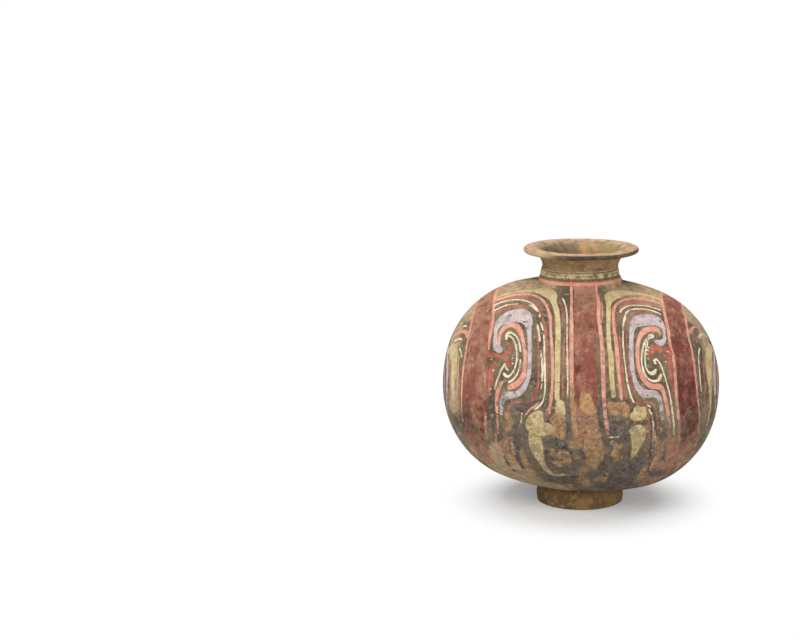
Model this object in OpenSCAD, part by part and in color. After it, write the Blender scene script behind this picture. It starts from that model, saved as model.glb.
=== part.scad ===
// Cocoon jar: a hand-painted earthenware jar whose body lies on its side like a silkworm's cocoon.
// Two thrown half bodies meet at the belly seam, with a clay coil pressed in behind it.
// The neck, its cordon and the foot ring are thrown by themselves and luted on with slip.
// The jar stands on the ground plane, with the long axis of the body along X.

/* [Body] */
// Length of the cocoon along its own axis
body_length = 284; // [240:1:330]
// Greatest diameter of the cocoon, at the belly seam
body_diameter = 225; // [190:1:245]
// Radius of the long curve over the flank
flank_radius = 262; // [190:1:400]
// Diameter of the trimmed flat at the tip of each end
end_flat = 14; // [6:1:30]
// Thickness of the thrown body wall
wall = 7; // [4:0.5:11]
// Slope of the body's long axis, with the +X end lower
body_tilt = 3.8; // [0:0.1:6]

/* [Neck] */
// Height of the neck from the crown of the body to the crest of the lip
neck_height = 33.5; // [28:0.5:60]
// Outer diameter of the straight part of the neck
neck_diameter = 77.5; // [60:0.5:90]
// Thickness of the neck wall round the bore
neck_wall = 6.75; // [5.5:0.25:10]
// How far the flat lip stands out from the straight part of the neck
lip_overhang = 20; // [18:0.25:32]
// Thickness of the rounded lip at its edge
lip_edge = 5.8; // [3:0.2:7]
// How far the lip falls from its crest to its edge
lip_fall = 0.6; // [0:0.1:2]
// Radius of the hollow curve under the lip
flare_radius = 15; // [10:0.5:16]

/* [Cordon] */
// How far the raised band round the foot of the neck stands out from it
cordon_proud = 1.9; // [1.8:0.05:6]
// Height of the cordon's upper edge above the crown of the body
cordon_rise = 10; // [5:0.5:12]
// Rounding of the cordon's upper edge
cordon_round = 1.5; // [0.4:0.1:1.5]
// Height above the crown of the body at which the cordon's smeared foot starts
cordon_waist = 2; // [1:0.25:4]
// How far the smeared foot runs out over the shoulder
cordon_spread = 7.5; // [5:0.5:10]
// How far the smeared foot falls over that spread
cordon_fall = 14; // [12:0.5:18]

/* [Foot] */
// Height of the belly above the ground
foot_lift = 11.5; // [6:0.5:20]
// Greatest diameter of the foot ring
foot_diameter = 91; // [80:1:120]
// Radius of the bulging outer face of the foot ring
foot_bulge = 20; // [19:0.5:40]
// Height of the widest place on the foot ring
foot_bulge_height = 6; // [4:0.5:10]
// Thickness of the foot ring at its widest place
foot_wall = 10; // [7:0.5:14]

/* [Joints] */
// Thickness of the slip film in each luted joint
slip = 0.3; // [0.2:0.05:0.6]
// Radius of the clay coil pressed in along the inside of the belly seam
coil_radius = 6; // [3:0.5:9]
// Thickness of the collar drawn up round the hole in the shoulder
collar_wall = 3.5; // [2:0.25:4.5]
// Height of that collar above the crown of the body
collar_rise = 3; // [1:0.5:5]

/* [Hidden] */
$fn = 180;

// Margin by which a cutting shape passes the face that it cuts
past = 1;

body_a = body_length / 2;
body_b = body_diameter / 2;
tip_r = end_flat / 2;
belly_z = foot_lift + body_b;
crown_z = belly_z + body_b;

// The shoulder arc touches the flank arc and the flat tip, which fixes its radius and its centre
flank_centre = body_b - flank_radius;
shoulder_radius = (flank_radius^2 - body_a^2 - (tip_r - flank_centre)^2) / (2 * (flank_radius - body_a));
shoulder_centre = body_a - shoulder_radius;
touch_slope = shoulder_centre / (flank_radius - shoulder_radius);

jar_height = crown_z + neck_height;
neck_r = neck_diameter / 2;
bore_r = neck_r - neck_wall;
lip_r = neck_r + lip_overhang;
lip_under = jar_height - lip_fall - lip_edge;
flare_z = lip_under - flare_radius;
flare_centre = neck_r + flare_radius;

collar_r = bore_r + collar_wall;
collar_top = crown_z + collar_rise;

cordon_r = neck_r + cordon_proud;
cordon_top = crown_z + cordon_rise;

foot_r = foot_diameter / 2;
foot_inner_r = foot_r - foot_wall;

clay = "#7a6f5a";
painted_clay = "#5b5a4c";
ochre_clay = "#8a7350";
cream_slip = "#c2b184";

// Half section of the cocoon from the seam to the tip, with every face moved outwards by out
module cocoon_section(out, seam) {
    touch_z = (flank_radius + out) * touch_slope;
    intersection() {
        translate([flank_centre, 0]) circle(flank_radius + out);
        translate([0, seam]) square([body_b + out, touch_z - seam]);
    }
    intersection() {
        translate([tip_r, shoulder_centre]) circle(shoulder_radius + out);
        translate([tip_r, touch_z]) square([body_b, body_a + out - touch_z]);
    }
    translate([0, touch_z]) square([tip_r, body_a + out - touch_z]);
}

// Stands the body's own axis along X, at its height and slope
module in_body_frame() translate([0, 0, belly_z]) rotate([0, 90 + body_tilt, 0]) children();

// Solid half of the cocoon on the side of the seam that turn gives, 1 for +X and -1 for -X
module half_solid(turn, out, seam) {
    in_body_frame() mirror([0, 0, turn < 0 ? 1 : 0]) rotate_extrude() cocoon_section(out, seam);
}

// Solid of the whole body grown by the slip film, on which the neck, cordon and foot are seated
module seat_solid() {
    half_solid(1, slip, 0);
    half_solid(-1, slip, 0);
}

// Upright round hole through the shoulder, in line with the bore of the neck
module neck_hole() translate([0, 0, belly_z]) cylinder(h = jar_height, r = bore_r);

// Half of the collar drawn up round the hole, on the side of the seam that turn gives
module half_collar(turn) {
    intersection() {
        translate([0, 0, belly_z]) cylinder(h = collar_top - belly_z, r = collar_r);
        in_body_frame() mirror([0, 0, turn < 0 ? 1 : 0])
            translate([-body_diameter, -body_b, slip / 2]) cube([2 * body_diameter, body_diameter, body_a]);
    }
}

// One thrown half of the body, open at the seam and under the neck
module half_body(turn) {
    difference() {
        union() {
            half_solid(turn, 0, slip / 2);
            half_collar(turn);
        }
        half_solid(turn, -wall, -past);
        neck_hole();
    }
}

module left_half() color(painted_clay) half_body(-1);

module right_half() color(painted_clay) half_body(1);

// Bead of clay along the inside of the seam, cut through below the neck
module seam_coil() {
    color(clay) difference() {
        in_body_frame() rotate_extrude() intersection() {
            translate([body_b - wall, 0]) circle(coil_radius);
            translate([flank_centre, 0]) circle(flank_radius - wall - slip);
        }
        neck_hole();
    }
}

// Section of the neck: straight wall, hollow flare and flat lip with a full round edge
module neck_section() {
    difference() {
        union() {
            translate([0, belly_z]) square([neck_r, flare_z - belly_z]);
            difference() {
                translate([0, flare_z]) square([flare_centre, flare_radius]);
                translate([flare_centre, flare_z]) circle(flare_radius);
            }
            polygon([
                [0, lip_under],
                [lip_r - lip_edge / 2, lip_under],
                [lip_r - lip_edge / 2, lip_under + lip_edge],
                [bore_r, jar_height],
                [0, jar_height]
            ]);
            translate([lip_r - lip_edge / 2, lip_under + lip_edge / 2]) circle(lip_edge / 2);
        }
        translate([0, belly_z - past]) square([bore_r, jar_height]);
        difference() {
            translate([0, flare_z]) square([flare_centre, jar_height]);
            translate([flare_centre, flare_z]) circle(flare_radius + neck_wall);
        }
    }
}

// Neck and lip, hollowed below to sit on the shoulder and to take the collar
module neck() {
    color(ochre_clay) difference() {
        rotate_extrude() neck_section();
        seat_solid();
        translate([0, 0, belly_z]) cylinder(h = collar_top + slip - belly_z, r = collar_r + slip);
    }
}

// Raised strip of clay that covers the joint between neck and shoulder, smeared down over the shoulder
module neck_cordon() {
    inner_r = neck_r + slip;
    round_r = cordon_r - cordon_round;
    round_z = cordon_top - cordon_round;
    waist_z = crown_z + cordon_waist;
    hem_z = waist_z - cordon_fall;
    color(cream_slip) difference() {
        rotate_extrude() {
            polygon([
                [inner_r, hem_z],
                [cordon_r + cordon_spread, hem_z],
                [cordon_r, waist_z],
                [cordon_r, round_z],
                [round_r, cordon_top],
                [inner_r, cordon_top]
            ]);
            translate([round_r, round_z]) intersection() {
                circle(cordon_round);
                square(cordon_round);
            }
        }
        seat_solid();
    }
}

// Low ring with a bulging outer face, hollowed to fit the belly
module foot_ring() {
    color(clay) difference() {
        rotate_extrude() intersection() {
            translate([foot_r - foot_bulge, foot_bulge_height]) circle(foot_bulge);
            translate([foot_inner_r, 0]) square([foot_wall, belly_z]);
        }
        seat_solid();
    }
}

left_half();
right_half();
seam_coil();
neck();
neck_cordon();
foot_ring();
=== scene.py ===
"""Looks of the cocoon jar: thrown clay, worn cold paint and earth stains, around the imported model.

Lengths are millimetres, as in the part's source, until a mesh is finished in metres.
The painting is drawn on a chart of the body: along the jar, and round it from the crown down the front.
"""

import logging
import math
from dataclasses import dataclass
from enum import Enum

import bmesh
import bpy
import numpy as np
from mathutils import Euler, Matrix, Vector, noise


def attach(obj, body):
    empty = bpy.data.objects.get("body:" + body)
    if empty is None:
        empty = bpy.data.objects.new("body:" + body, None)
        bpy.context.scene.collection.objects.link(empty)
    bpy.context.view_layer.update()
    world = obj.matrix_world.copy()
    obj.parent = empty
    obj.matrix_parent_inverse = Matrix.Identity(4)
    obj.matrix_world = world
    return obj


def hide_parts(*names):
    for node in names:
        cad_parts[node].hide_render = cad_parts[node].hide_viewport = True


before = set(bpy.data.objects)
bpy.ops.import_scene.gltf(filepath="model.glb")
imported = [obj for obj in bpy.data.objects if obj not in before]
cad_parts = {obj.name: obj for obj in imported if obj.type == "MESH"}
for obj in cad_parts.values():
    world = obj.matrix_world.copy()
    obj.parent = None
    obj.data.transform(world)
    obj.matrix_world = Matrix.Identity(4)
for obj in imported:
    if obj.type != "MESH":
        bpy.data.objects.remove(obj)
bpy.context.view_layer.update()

LOG = logging.getLogger("cocoon_jar")
METRE = 0.001
SHARP_ANGLE = math.radians(40)
MERGE_GAP = 0.0005
BODY = "root"


# Forms of the jar


@dataclass(frozen=True)
class CocoonForm:
    """Form of the body: a flank arc, a shoulder arc and a flat tip, turned about a sloping axis."""

    length: float = 284.0
    diameter: float = 225.0
    flank_radius: float = 262.0
    end_flat: float = 14.0
    wall: float = 7.0
    tilt: float = math.radians(3.8)
    lift: float = 11.5

    @property
    def half_length(self) -> float:
        """Distance from the seam to a tip."""
        return self.length / 2

    @property
    def belly_r(self) -> float:
        """Greatest radius, at the seam."""
        return self.diameter / 2

    @property
    def tip_r(self) -> float:
        """Radius of the flat at a tip."""
        return self.end_flat / 2

    @property
    def belly_z(self) -> float:
        """Height of the body's axis at the seam."""
        return self.lift + self.belly_r

    @property
    def crown_z(self) -> float:
        """Height of the crown."""
        return self.belly_z + self.belly_r

    @property
    def flank_centre(self) -> float:
        """Radial place of the centre of the flank arc."""
        return self.belly_r - self.flank_radius

    @property
    def shoulder_radius(self) -> float:
        """Radius of the shoulder arc, which touches the flank arc and the tip."""
        rise = self.tip_r - self.flank_centre
        span = self.flank_radius**2 - self.half_length**2 - rise**2
        return span / (2 * (self.flank_radius - self.half_length))

    @property
    def shoulder_centre(self) -> float:
        """Axial place of the centre of the shoulder arc."""
        return self.half_length - self.shoulder_radius

    @property
    def touch_angle(self) -> float:
        """Angle of the flank arc from the seam to the shoulder arc."""
        return math.asin(self.shoulder_centre / (self.flank_radius - self.shoulder_radius))

    def radius(self, axial: np.ndarray) -> np.ndarray:
        """Outer radius at places along the axis.

        Args:
            axial: Distances from the seam.

        Returns:
            The radius at each place.
        """
        along = np.minimum(np.abs(axial), self.half_length)
        flank = self.flank_centre + np.sqrt(self.flank_radius**2 - along**2)
        past = np.clip(along - self.shoulder_centre, 0.0, self.shoulder_radius)
        shoulder = self.tip_r + np.sqrt(self.shoulder_radius**2 - past**2)
        return np.where(along < self.flank_radius * math.sin(self.touch_angle), flank, shoulder)

    def chart(self, points: np.ndarray) -> tuple[np.ndarray, np.ndarray]:
        """Reads points of the body on the chart; the back carries the front's painting, turned half round.

        Args:
            points: Places in the jar's frame, one row each.

        Returns:
            The place along the jar and the girth from the crown.
        """
        facing = np.where(points[:, 1] <= 0.0, 1.0, -1.0)
        angle = np.arctan2(np.abs(points[:, 1]), points[:, 2] - self.belly_z)
        return points[:, 0] * facing, angle * self.belly_r

    def lay(self, along: np.ndarray, girth: np.ndarray) -> np.ndarray:
        """Lays chart places on a level copy of the body, on which brush widths are true.

        Args:
            along: Places along the jar.
            girth: Girths from the crown.

        Returns:
            Points on the level body, one row each.
        """
        radius = self.radius(along)
        angle = girth / self.belly_r
        return np.column_stack((along, radius * np.sin(angle), radius * np.cos(angle)))

    def axis_to_jar(self) -> Matrix:
        """Turn and lift that stand the body's own axis in the jar's frame."""
        return Matrix.Translation((0.0, 0.0, self.belly_z)) @ Matrix.Rotation(self.tilt, 4, "Y")


class Section:
    """A half section drawn in the XZ plane with bmesh operators, then turned round an axis."""

    def __init__(self, across: float, up: float) -> None:
        """Starts the outline at a point."""
        self.mesh = bmesh.new()
        self.first = self.mesh.verts.new((across, 0.0, up))
        self.last = self.first

    def jump(self, across: float, up: float) -> "Section":
        """Starts another stretch of the outline, with no line to it."""
        self.last = self.mesh.verts.new((across, 0.0, up))
        return self

    def line(self, across: float, up: float, steps: int = 1) -> "Section":
        """Draws a straight line.

        Args:
            across: Place of its end along X.
            up: Place of its end along Z.
            steps: Number of edges in it.

        Returns:
            The section itself.
        """
        leap = (Vector((across, 0.0, up)) - self.last.co) / steps
        for _ in range(steps):
            self.last = bmesh.ops.extrude_vert_indiv(self.mesh, verts=[self.last])["verts"][0]
            bmesh.ops.translate(self.mesh, verts=[self.last], vec=leap)
        return self

    def arc(self, across: float, up: float, angle: float, steps: int) -> "Section":
        """Draws an arc from the last point.

        Args:
            across: Place of its centre along X.
            up: Place of its centre along Z.
            angle: Angle swept, clockwise where it is positive.
            steps: Number of edges in it.

        Returns:
            The section itself.
        """
        centre = (across, 0.0, up)
        swept = bmesh.ops.spin(
            self.mesh, geom=[self.last], cent=centre, axis=(0.0, 1.0, 0.0), angle=angle, steps=steps
        )
        self.last = next(item for item in swept["geom_last"] if isinstance(item, bmesh.types.BMVert))
        return self

    def close(self) -> "Section":
        """Joins the last point to the first."""
        self.mesh.edges.new((self.last, self.first))
        return self

    def turn(self, axis: tuple[float, float, float], steps: int) -> bmesh.types.BMesh:
        """Turns the section right round an axis through the origin.

        Args:
            axis: Direction of the axis.
            steps: Number of faces round it.

        Returns:
            The closed mesh.
        """
        outline = self.mesh.verts[:] + self.mesh.edges[:]
        bmesh.ops.spin(self.mesh, geom=outline, axis=axis, angle=math.tau, steps=steps, use_merge=True)
        bmesh.ops.remove_doubles(self.mesh, verts=self.mesh.verts, dist=MERGE_GAP)
        bmesh.ops.recalc_face_normals(self.mesh, faces=self.mesh.faces)
        return self.mesh


def finish_piece(name: str, shape: bmesh.types.BMesh) -> bpy.types.Object:
    """Makes an object of a mesh drawn in millimetres.

    Args:
        name: Name of the piece.
        shape: The mesh, which is freed.

    Returns:
        The object, at the origin, in metres.
    """
    bmesh.ops.scale(shape, verts=shape.verts, vec=(METRE, METRE, METRE))
    data = bpy.data.meshes.new(name)
    shape.to_mesh(data)
    shape.free()
    piece = bpy.data.objects.new(name, data)
    bpy.context.scene.collection.objects.link(piece)
    return piece


def cut_away(piece: bpy.types.Object, cutter: bpy.types.Object) -> None:
    """Cuts one solid out of another and removes the cutter.

    Args:
        piece: The solid that is cut.
        cutter: The solid that is taken out of it.
    """
    modifier = piece.modifiers.new("cut", "BOOLEAN")
    modifier.operation = "DIFFERENCE"
    modifier.solver = "EXACT"
    modifier.object = cutter
    uncut = piece.data
    piece.data = bpy.data.meshes.new_from_object(piece.evaluated_get(bpy.context.evaluated_depsgraph_get()))
    piece.modifiers.clear()
    piece.data.name = piece.name
    bpy.data.meshes.remove(uncut)
    bpy.data.objects.remove(cutter)


def smooth_but_corners(piece: bpy.types.Object) -> None:
    """Shades a piece smooth, with sharp corners kept."""
    piece.data.shade_smooth()
    piece.data.set_sharp_from_angle(angle=SHARP_ANGLE)


def points_of(piece: bpy.types.Object) -> np.ndarray:
    """Places of a piece's vertices in millimetres, one row each."""
    flat = np.empty(len(piece.data.vertices) * 3)
    piece.data.vertices.foreach_get("co", flat)
    return flat.reshape(-1, 3) / METRE


def set_attribute(piece: bpy.types.Object, name: str, values: np.ndarray) -> None:
    """Stores one number at each vertex of a piece.

    Args:
        piece: The piece.
        name: Name under which its material reads the numbers.
        values: The numbers, in the order of the vertices.
    """
    store = piece.data.attributes.new(name, "FLOAT", "POINT")
    store.data.foreach_set("value", values.astype(np.float32))


# The painting


class Coat(Enum):
    """Coats of paint and wear on the body, in the order in which they lie."""

    BUFF = "buff"
    RUST = "rust"
    SCRAPS = "scraps"
    CHAR = "char"
    WASH = "wash"
    YELLOW = "yellow"
    LAVENDER = "lavender"
    PINK = "pink"
    CARMINE = "carmine"
    VERMILION = "vermilion"
    WHITE = "white"
    OCHRE = "ochre"


@dataclass(frozen=True)
class Stroke:
    """One pull of the brush, or one patch of wear, through points given on the chart.

    A point is its place along the jar, its girth from the crown and, where it differs, its half width.
    """

    coat: Coat
    half_width: float
    points: tuple[tuple[float, ...], ...]

    STEP = 2.5

    def path(self) -> np.ndarray:
        """Rounds the points into a smooth path.

        Returns:
            One row for each place on the path: along, girth and half width.
        """
        keys = np.array([point if len(point) == 3 else (*point, self.half_width) for point in self.points])
        if len(keys) < 3:
            return keys
        before = np.vstack((2 * keys[0] - keys[1], keys[:-1]))
        after = np.vstack((keys[1:], 2 * keys[-1] - keys[-2]))
        slope = (after - before) / 2
        rows = [keys[:1]]
        for start, end, leave, reach in zip(keys[:-1], keys[1:], slope[:-1], slope[1:]):
            steps = max(2, int(np.hypot(*(end - start)[:2]) / self.STEP))
            t = np.linspace(0.0, 1.0, steps + 1)[1:, None]
            ease = t * t * (3 - 2 * t)
            rows.append(start + (end - start) * ease + leave * t * (1 - t) ** 2 - reach * t * t * (1 - t))
        return np.vstack(rows)


def mirrored(strokes: tuple[Stroke, ...]) -> tuple[Stroke, ...]:
    """Lays the same strokes on the other end of the jar."""
    return tuple(
        Stroke(stroke.coat, stroke.half_width, tuple((-point[0], *point[1:]) for point in stroke.points))
        for stroke in strokes
    )


def brush(coat: Coat, half_width: float, *points: tuple[float, ...]) -> Stroke:
    """Names a stroke by its coat, half width and points."""
    return Stroke(coat, half_width, points)


@dataclass(frozen=True)
class Band:
    """An upright red band. Rows give girth, left edge, right edge and how deep the red still is."""

    rows: tuple[tuple[float, float, float, float], ...]


BANDS = (
    Band((
        (28, -5.6, 14.8, 0.15), (50, -5.6, 15.6, 0.4), (64, -5.6, 16.2, 0.8), (80, -5.6, 16.3, 1.1),
        (120, -5.6, 16.3, 1.05), (160, -5.4, 17.0, 1.2), (178, -5.0, 17.0, 0.8), (204, -4.0, 8.0, 0.8),
        (212, -3.0, 5.0, 0.0),
    )),
    Band((
        (0, -105, -84.5, 0.3), (45, -108, -86.2, 0.5), (75, -110.5, -86.3, 0.6), (97, -112.5, -88.7, 0.8),
        (107, -113.5, -89, 1.0), (118, -114.7, -89, 0.8), (165, -117.5, -90, 1.1), (195, -118, -92, 1.6),
        (222, -116.5, -92.5, 1.6), (244, -114.5, -92, 0.8), (292, -110, -92, 0.0),
    )),
    Band((
        (0, 83.5, 104, 0.8), (40, 82.7, 105, 1.0), (80, 86, 107, 1.2), (107, 88.7, 110.7, 1.3),
        (128, 91.8, 112.3, 1.4), (160, 93.5, 114.7, 1.5), (190, 96, 116.7, 1.7), (215, 97.5, 118, 2.0),
        (240, 98, 117.5, 1.1), (262, 97, 116, 0.5), (292, 95, 112, 0.0),
    )),
)

LEFT_SCROLL = (
    brush(Coat.WASH, 2.0, (-84, 45.5), (-66, 46), (-56, 49, 2.2), (-50, 54), (-45, 60), (-40, 68, 1.6),
          (-37, 78, 1.4)),
    brush(Coat.WASH, 3.2, (-84, 63), (-70, 62), (-60, 63.5), (-53, 67, 2.2)),
    brush(Coat.YELLOW, 2.5, (-85, 33.5, 1.0), (-65, 35, 1.2), (-52, 38, 1.8), (-44, 39.5, 3.6),
          (-38, 41, 5.6), (-31.5, 46, 7.0), (-27.6, 53, 5.4), (-26, 60, 3.2), (-24.3, 67, 2.7), (-22.2, 78),
          (-21, 95), (-21.2, 120, 2.6), (-21.6, 150), (-21.7, 167, 2.3)),
    brush(Coat.YELLOW, 4.5, (-19, 173), (-18.5, 181, 5.0)),
    brush(Coat.LAVENDER, 2.0, (-77.5, 116, 2.6), (-81, 112, 4.0), (-83, 105, 2.8), (-82.8, 97),
          (-82.5, 89, 2.4), (-79.5, 81.5, 4.6), (-73, 77, 7.0), (-65, 75.5, 8.0), (-56, 77.5, 8.0),
          (-51.2, 85, 5.2), (-49.8, 93, 2.8), (-49, 103), (-48.5, 120), (-48.6, 134), (-49.4, 143),
          (-51.2, 150.5, 2.3), (-54.5, 157.5, 2.8), (-60.5, 163.5, 3.0), (-67.5, 165, 3.5),
          (-73, 166.8, 3.0), (-75.6, 173, 2.3), (-76.2, 181, 1.8), (-76.6, 187, 1.2)),
    brush(Coat.PINK, 1.5, (-85, 41, 1.8), (-70, 41.5, 1.8), (-60, 42.5), (-52, 44.7), (-46, 48.2, 1.3),
          (-40, 53.5, 1.3), (-36, 59, 1.3), (-33, 66, 1.3), (-30.7, 74, 1.4), (-29, 82, 1.8),
          (-28.3, 92, 1.3), (-27.7, 105, 1.2), (-26.5, 120), (-26, 140), (-26.4, 153, 1.2),
          (-27.2, 165, 1.4), (-28.6, 175), (-31, 183, 2.3), (-33, 188, 1.8)),
    brush(Coat.PINK, 1.7, (-78.5, 108, 1.2), (-78.9, 100), (-77.3, 93.5, 2.2), (-73, 88.6, 2.6),
          (-67, 87, 2.6), (-62, 90, 3.1), (-58.5, 96, 2.6), (-56.2, 103), (-54.3, 112), (-53.2, 122),
          (-53.1, 133), (-54, 142, 2.3), (-57, 148.7, 2.7), (-62, 154, 3.0), (-68, 156.3, 2.7)),
    brush(Coat.PINK, 1.7, (-75, 151, 1.1), (-78.6, 157.5), (-80.7, 166, 1.9), (-81, 176), (-81, 186, 1.4)),
    brush(Coat.CARMINE, 1.1, (-53, 48.5, 1.8), (-51, 53, 2.0)),
    brush(Coat.CARMINE, 1.2, (-37.4, 77, 0.8), (-36, 84, 1.0), (-34, 92, 1.0), (-33, 101), (-32.3, 113),
          (-32, 126, 1.4), (-32, 141), (-32.2, 151, 1.0), (-32.6, 157, 0.6)),
    brush(Coat.CARMINE, 0.8, (-42.3, 88, 0.6), (-41, 103), (-40.2, 116), (-39.7, 130), (-39.8, 146),
          (-40.2, 154, 1.4), (-42, 160.5, 1.4), (-44.6, 166.5, 1.7), (-48, 170.6, 1.0), (-55, 171.8, 0.6),
          (-62, 172, 1.2), (-66.5, 174.5, 1.5), (-69.3, 179, 1.3), (-69.8, 184, 0.6)),
    brush(Coat.CARMINE, 0.8, (-20, 60, 1.0), (-17, 72), (-15.5, 83), (-14.8, 100, 0.6), (-15.2, 118, 1.0),
          (-15.4, 129, 1.1), (-15.8, 141), (-16.2, 154, 1.2), (-16.2, 167, 0.9)),
    brush(Coat.VERMILION, 2.6, (-88, 119), (-82, 121, 2.0), (-76, 122.5), (-71, 121, 3.4),
          (-67.6, 115.5, 2.8), (-66.7, 109, 1.2)),
    brush(Coat.VERMILION, 2.4, (-67.8, 132, 2.4), (-72, 126.5, 2.0)),
    brush(Coat.VERMILION, 2.6, (-80.5, 131, 1.4), (-84.5, 133.5), (-86.5, 140, 3.0), (-87.3, 150),
          (-88.6, 162, 1.6)),
    brush(Coat.WHITE, 0.85, (-86, 50.2), (-79.5, 49.2), (-72.5, 49.6), (-65, 51), (-57.5, 53.6),
          (-52, 57.2), (-47.5, 61.2), (-44.5, 66), (-41, 73.6)),
    brush(Coat.WHITE, 0.85, (-85, 59.6), (-79, 58), (-71.5, 57.4), (-61.5, 58.8, 0.6)),
    brush(Coat.WHITE, 0.7, (-50, 63.6), (-46, 66.8), (-42.6, 71.5)),
    brush(Coat.WHITE, 0.8, (-39.3, 77), (-39.2, 81)),
    brush(Coat.WHITE, 0.8, (-38, 88), (-36.4, 93.5), (-35.2, 99.5, 0.5)),
    brush(Coat.WHITE, 0.85, (-34.8, 103), (-34.2, 119), (-33.8, 135), (-33.3, 149), (-33.4, 157),
          (-34, 164, 0.7), (-36, 171, 0.7), (-40, 176.2, 1.1), (-44, 179.5, 0.4)),
    brush(Coat.PINK, 1.0, (-39, 171.5, 0.6), (-44, 176), (-49.5, 180.5), (-53, 187, 0.6)),
    brush(Coat.WHITE, 0.8, (-41.2, 91), (-40, 98), (-38.7, 109, 0.7)),
    brush(Coat.WHITE, 0.8, (-37.6, 119.5), (-36.7, 129), (-36.2, 140), (-36.2, 149.5)),
    brush(Coat.WHITE, 0.6, (-36.3, 153), (-37.5, 158)),
    brush(Coat.WHITE, 0.85, (-71.8, 103.5, 1.2), (-71.8, 99.2, 1.3), (-69.5, 96.4, 1.1), (-66, 97.6),
          (-62.5, 101.2), (-60, 105.8), (-58.6, 111.5), (-57.5, 118.7, 0.95)),
    brush(Coat.WHITE, 0.75, (-57.7, 128), (-58.4, 134.5), (-59.9, 141), (-62.5, 146.2), (-66, 149.6, 1.1),
          (-68.8, 151, 1.3)),
    brush(Coat.WHITE, 0.75, (-69.5, 100.2), (-66.4, 102.8), (-64, 106.8), (-62.1, 112.5), (-61.2, 120.5),
          (-61.4, 129), (-62.7, 135.5), (-65, 140.6), (-67.6, 144, 0.9), (-70.5, 145.3, 1.3),
          (-73.6, 142.4, 1.3)),
    brush(Coat.WHITE, 0.7, (-73, 132, 1.3), (-75.6, 136, 0.9), (-78.1, 141.8), (-80.4, 148.5), (-82, 154.5),
          (-82.8, 159.5, 0.4)),
    brush(Coat.WHITE, 0.7, (-73, 132), (-71.6, 135.5), (-70, 138.6, 0.9)),
    brush(Coat.WHITE, 0.8, (-17, 57, 0.9), (-15.3, 62), (-13.8, 68), (-12.7, 76.5), (-12.2, 86),
          (-12.1, 106), (-11.8, 128), (-11.4, 150), (-11.5, 167, 0.5)),
)

LEFT_DOTS = ((-87, 125), (-70.3, 125), (-65.3, 126), (-65.3, 131.5), (-84.5, 138), (-87, 159))

LEFT_BORDERS = (
    brush(Coat.PINK, 1.5, (-84.5, 0), (-86, 30), (-86.2, 60), (-86.2, 77), (-87.6, 88), (-88.8, 98),
          (-89.3, 112, 1.0)),
    brush(Coat.PINK, 1.3, (-93.3, 140, 0.8), (-92.6, 156, 0.9)),
    brush(Coat.PINK, 1.4, (-92.6, 190), (-93, 206, 1.6), (-92.4, 219, 0.9)),
    brush(Coat.PINK, 1.0, (-80.8, 190), (-80.6, 200, 1.2), (-80, 212, 0.7)),
    brush(Coat.CARMINE, 0.9, (-87.6, 192), (-88, 203), (-87.4, 215)),
    brush(Coat.PINK, 1.4, (-105, 0), (-108, 45), (-110.5, 75, 1.7), (-112.5, 95), (-114.5, 115),
          (-116.5, 140), (-117.5, 165), (-118, 190, 1.2), (-117, 216, 0.9)),
    brush(Coat.PINK, 1.9, (-8.5, 33, 0.8), (-8.2, 50, 1.3), (-8.1, 75, 1.3), (-7.9, 93), (-7.9, 125),
          (-7.7, 146), (-7.2, 166, 1.6), (-6.4, 186, 1.4), (-4.8, 201, 0.9)),
)

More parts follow.
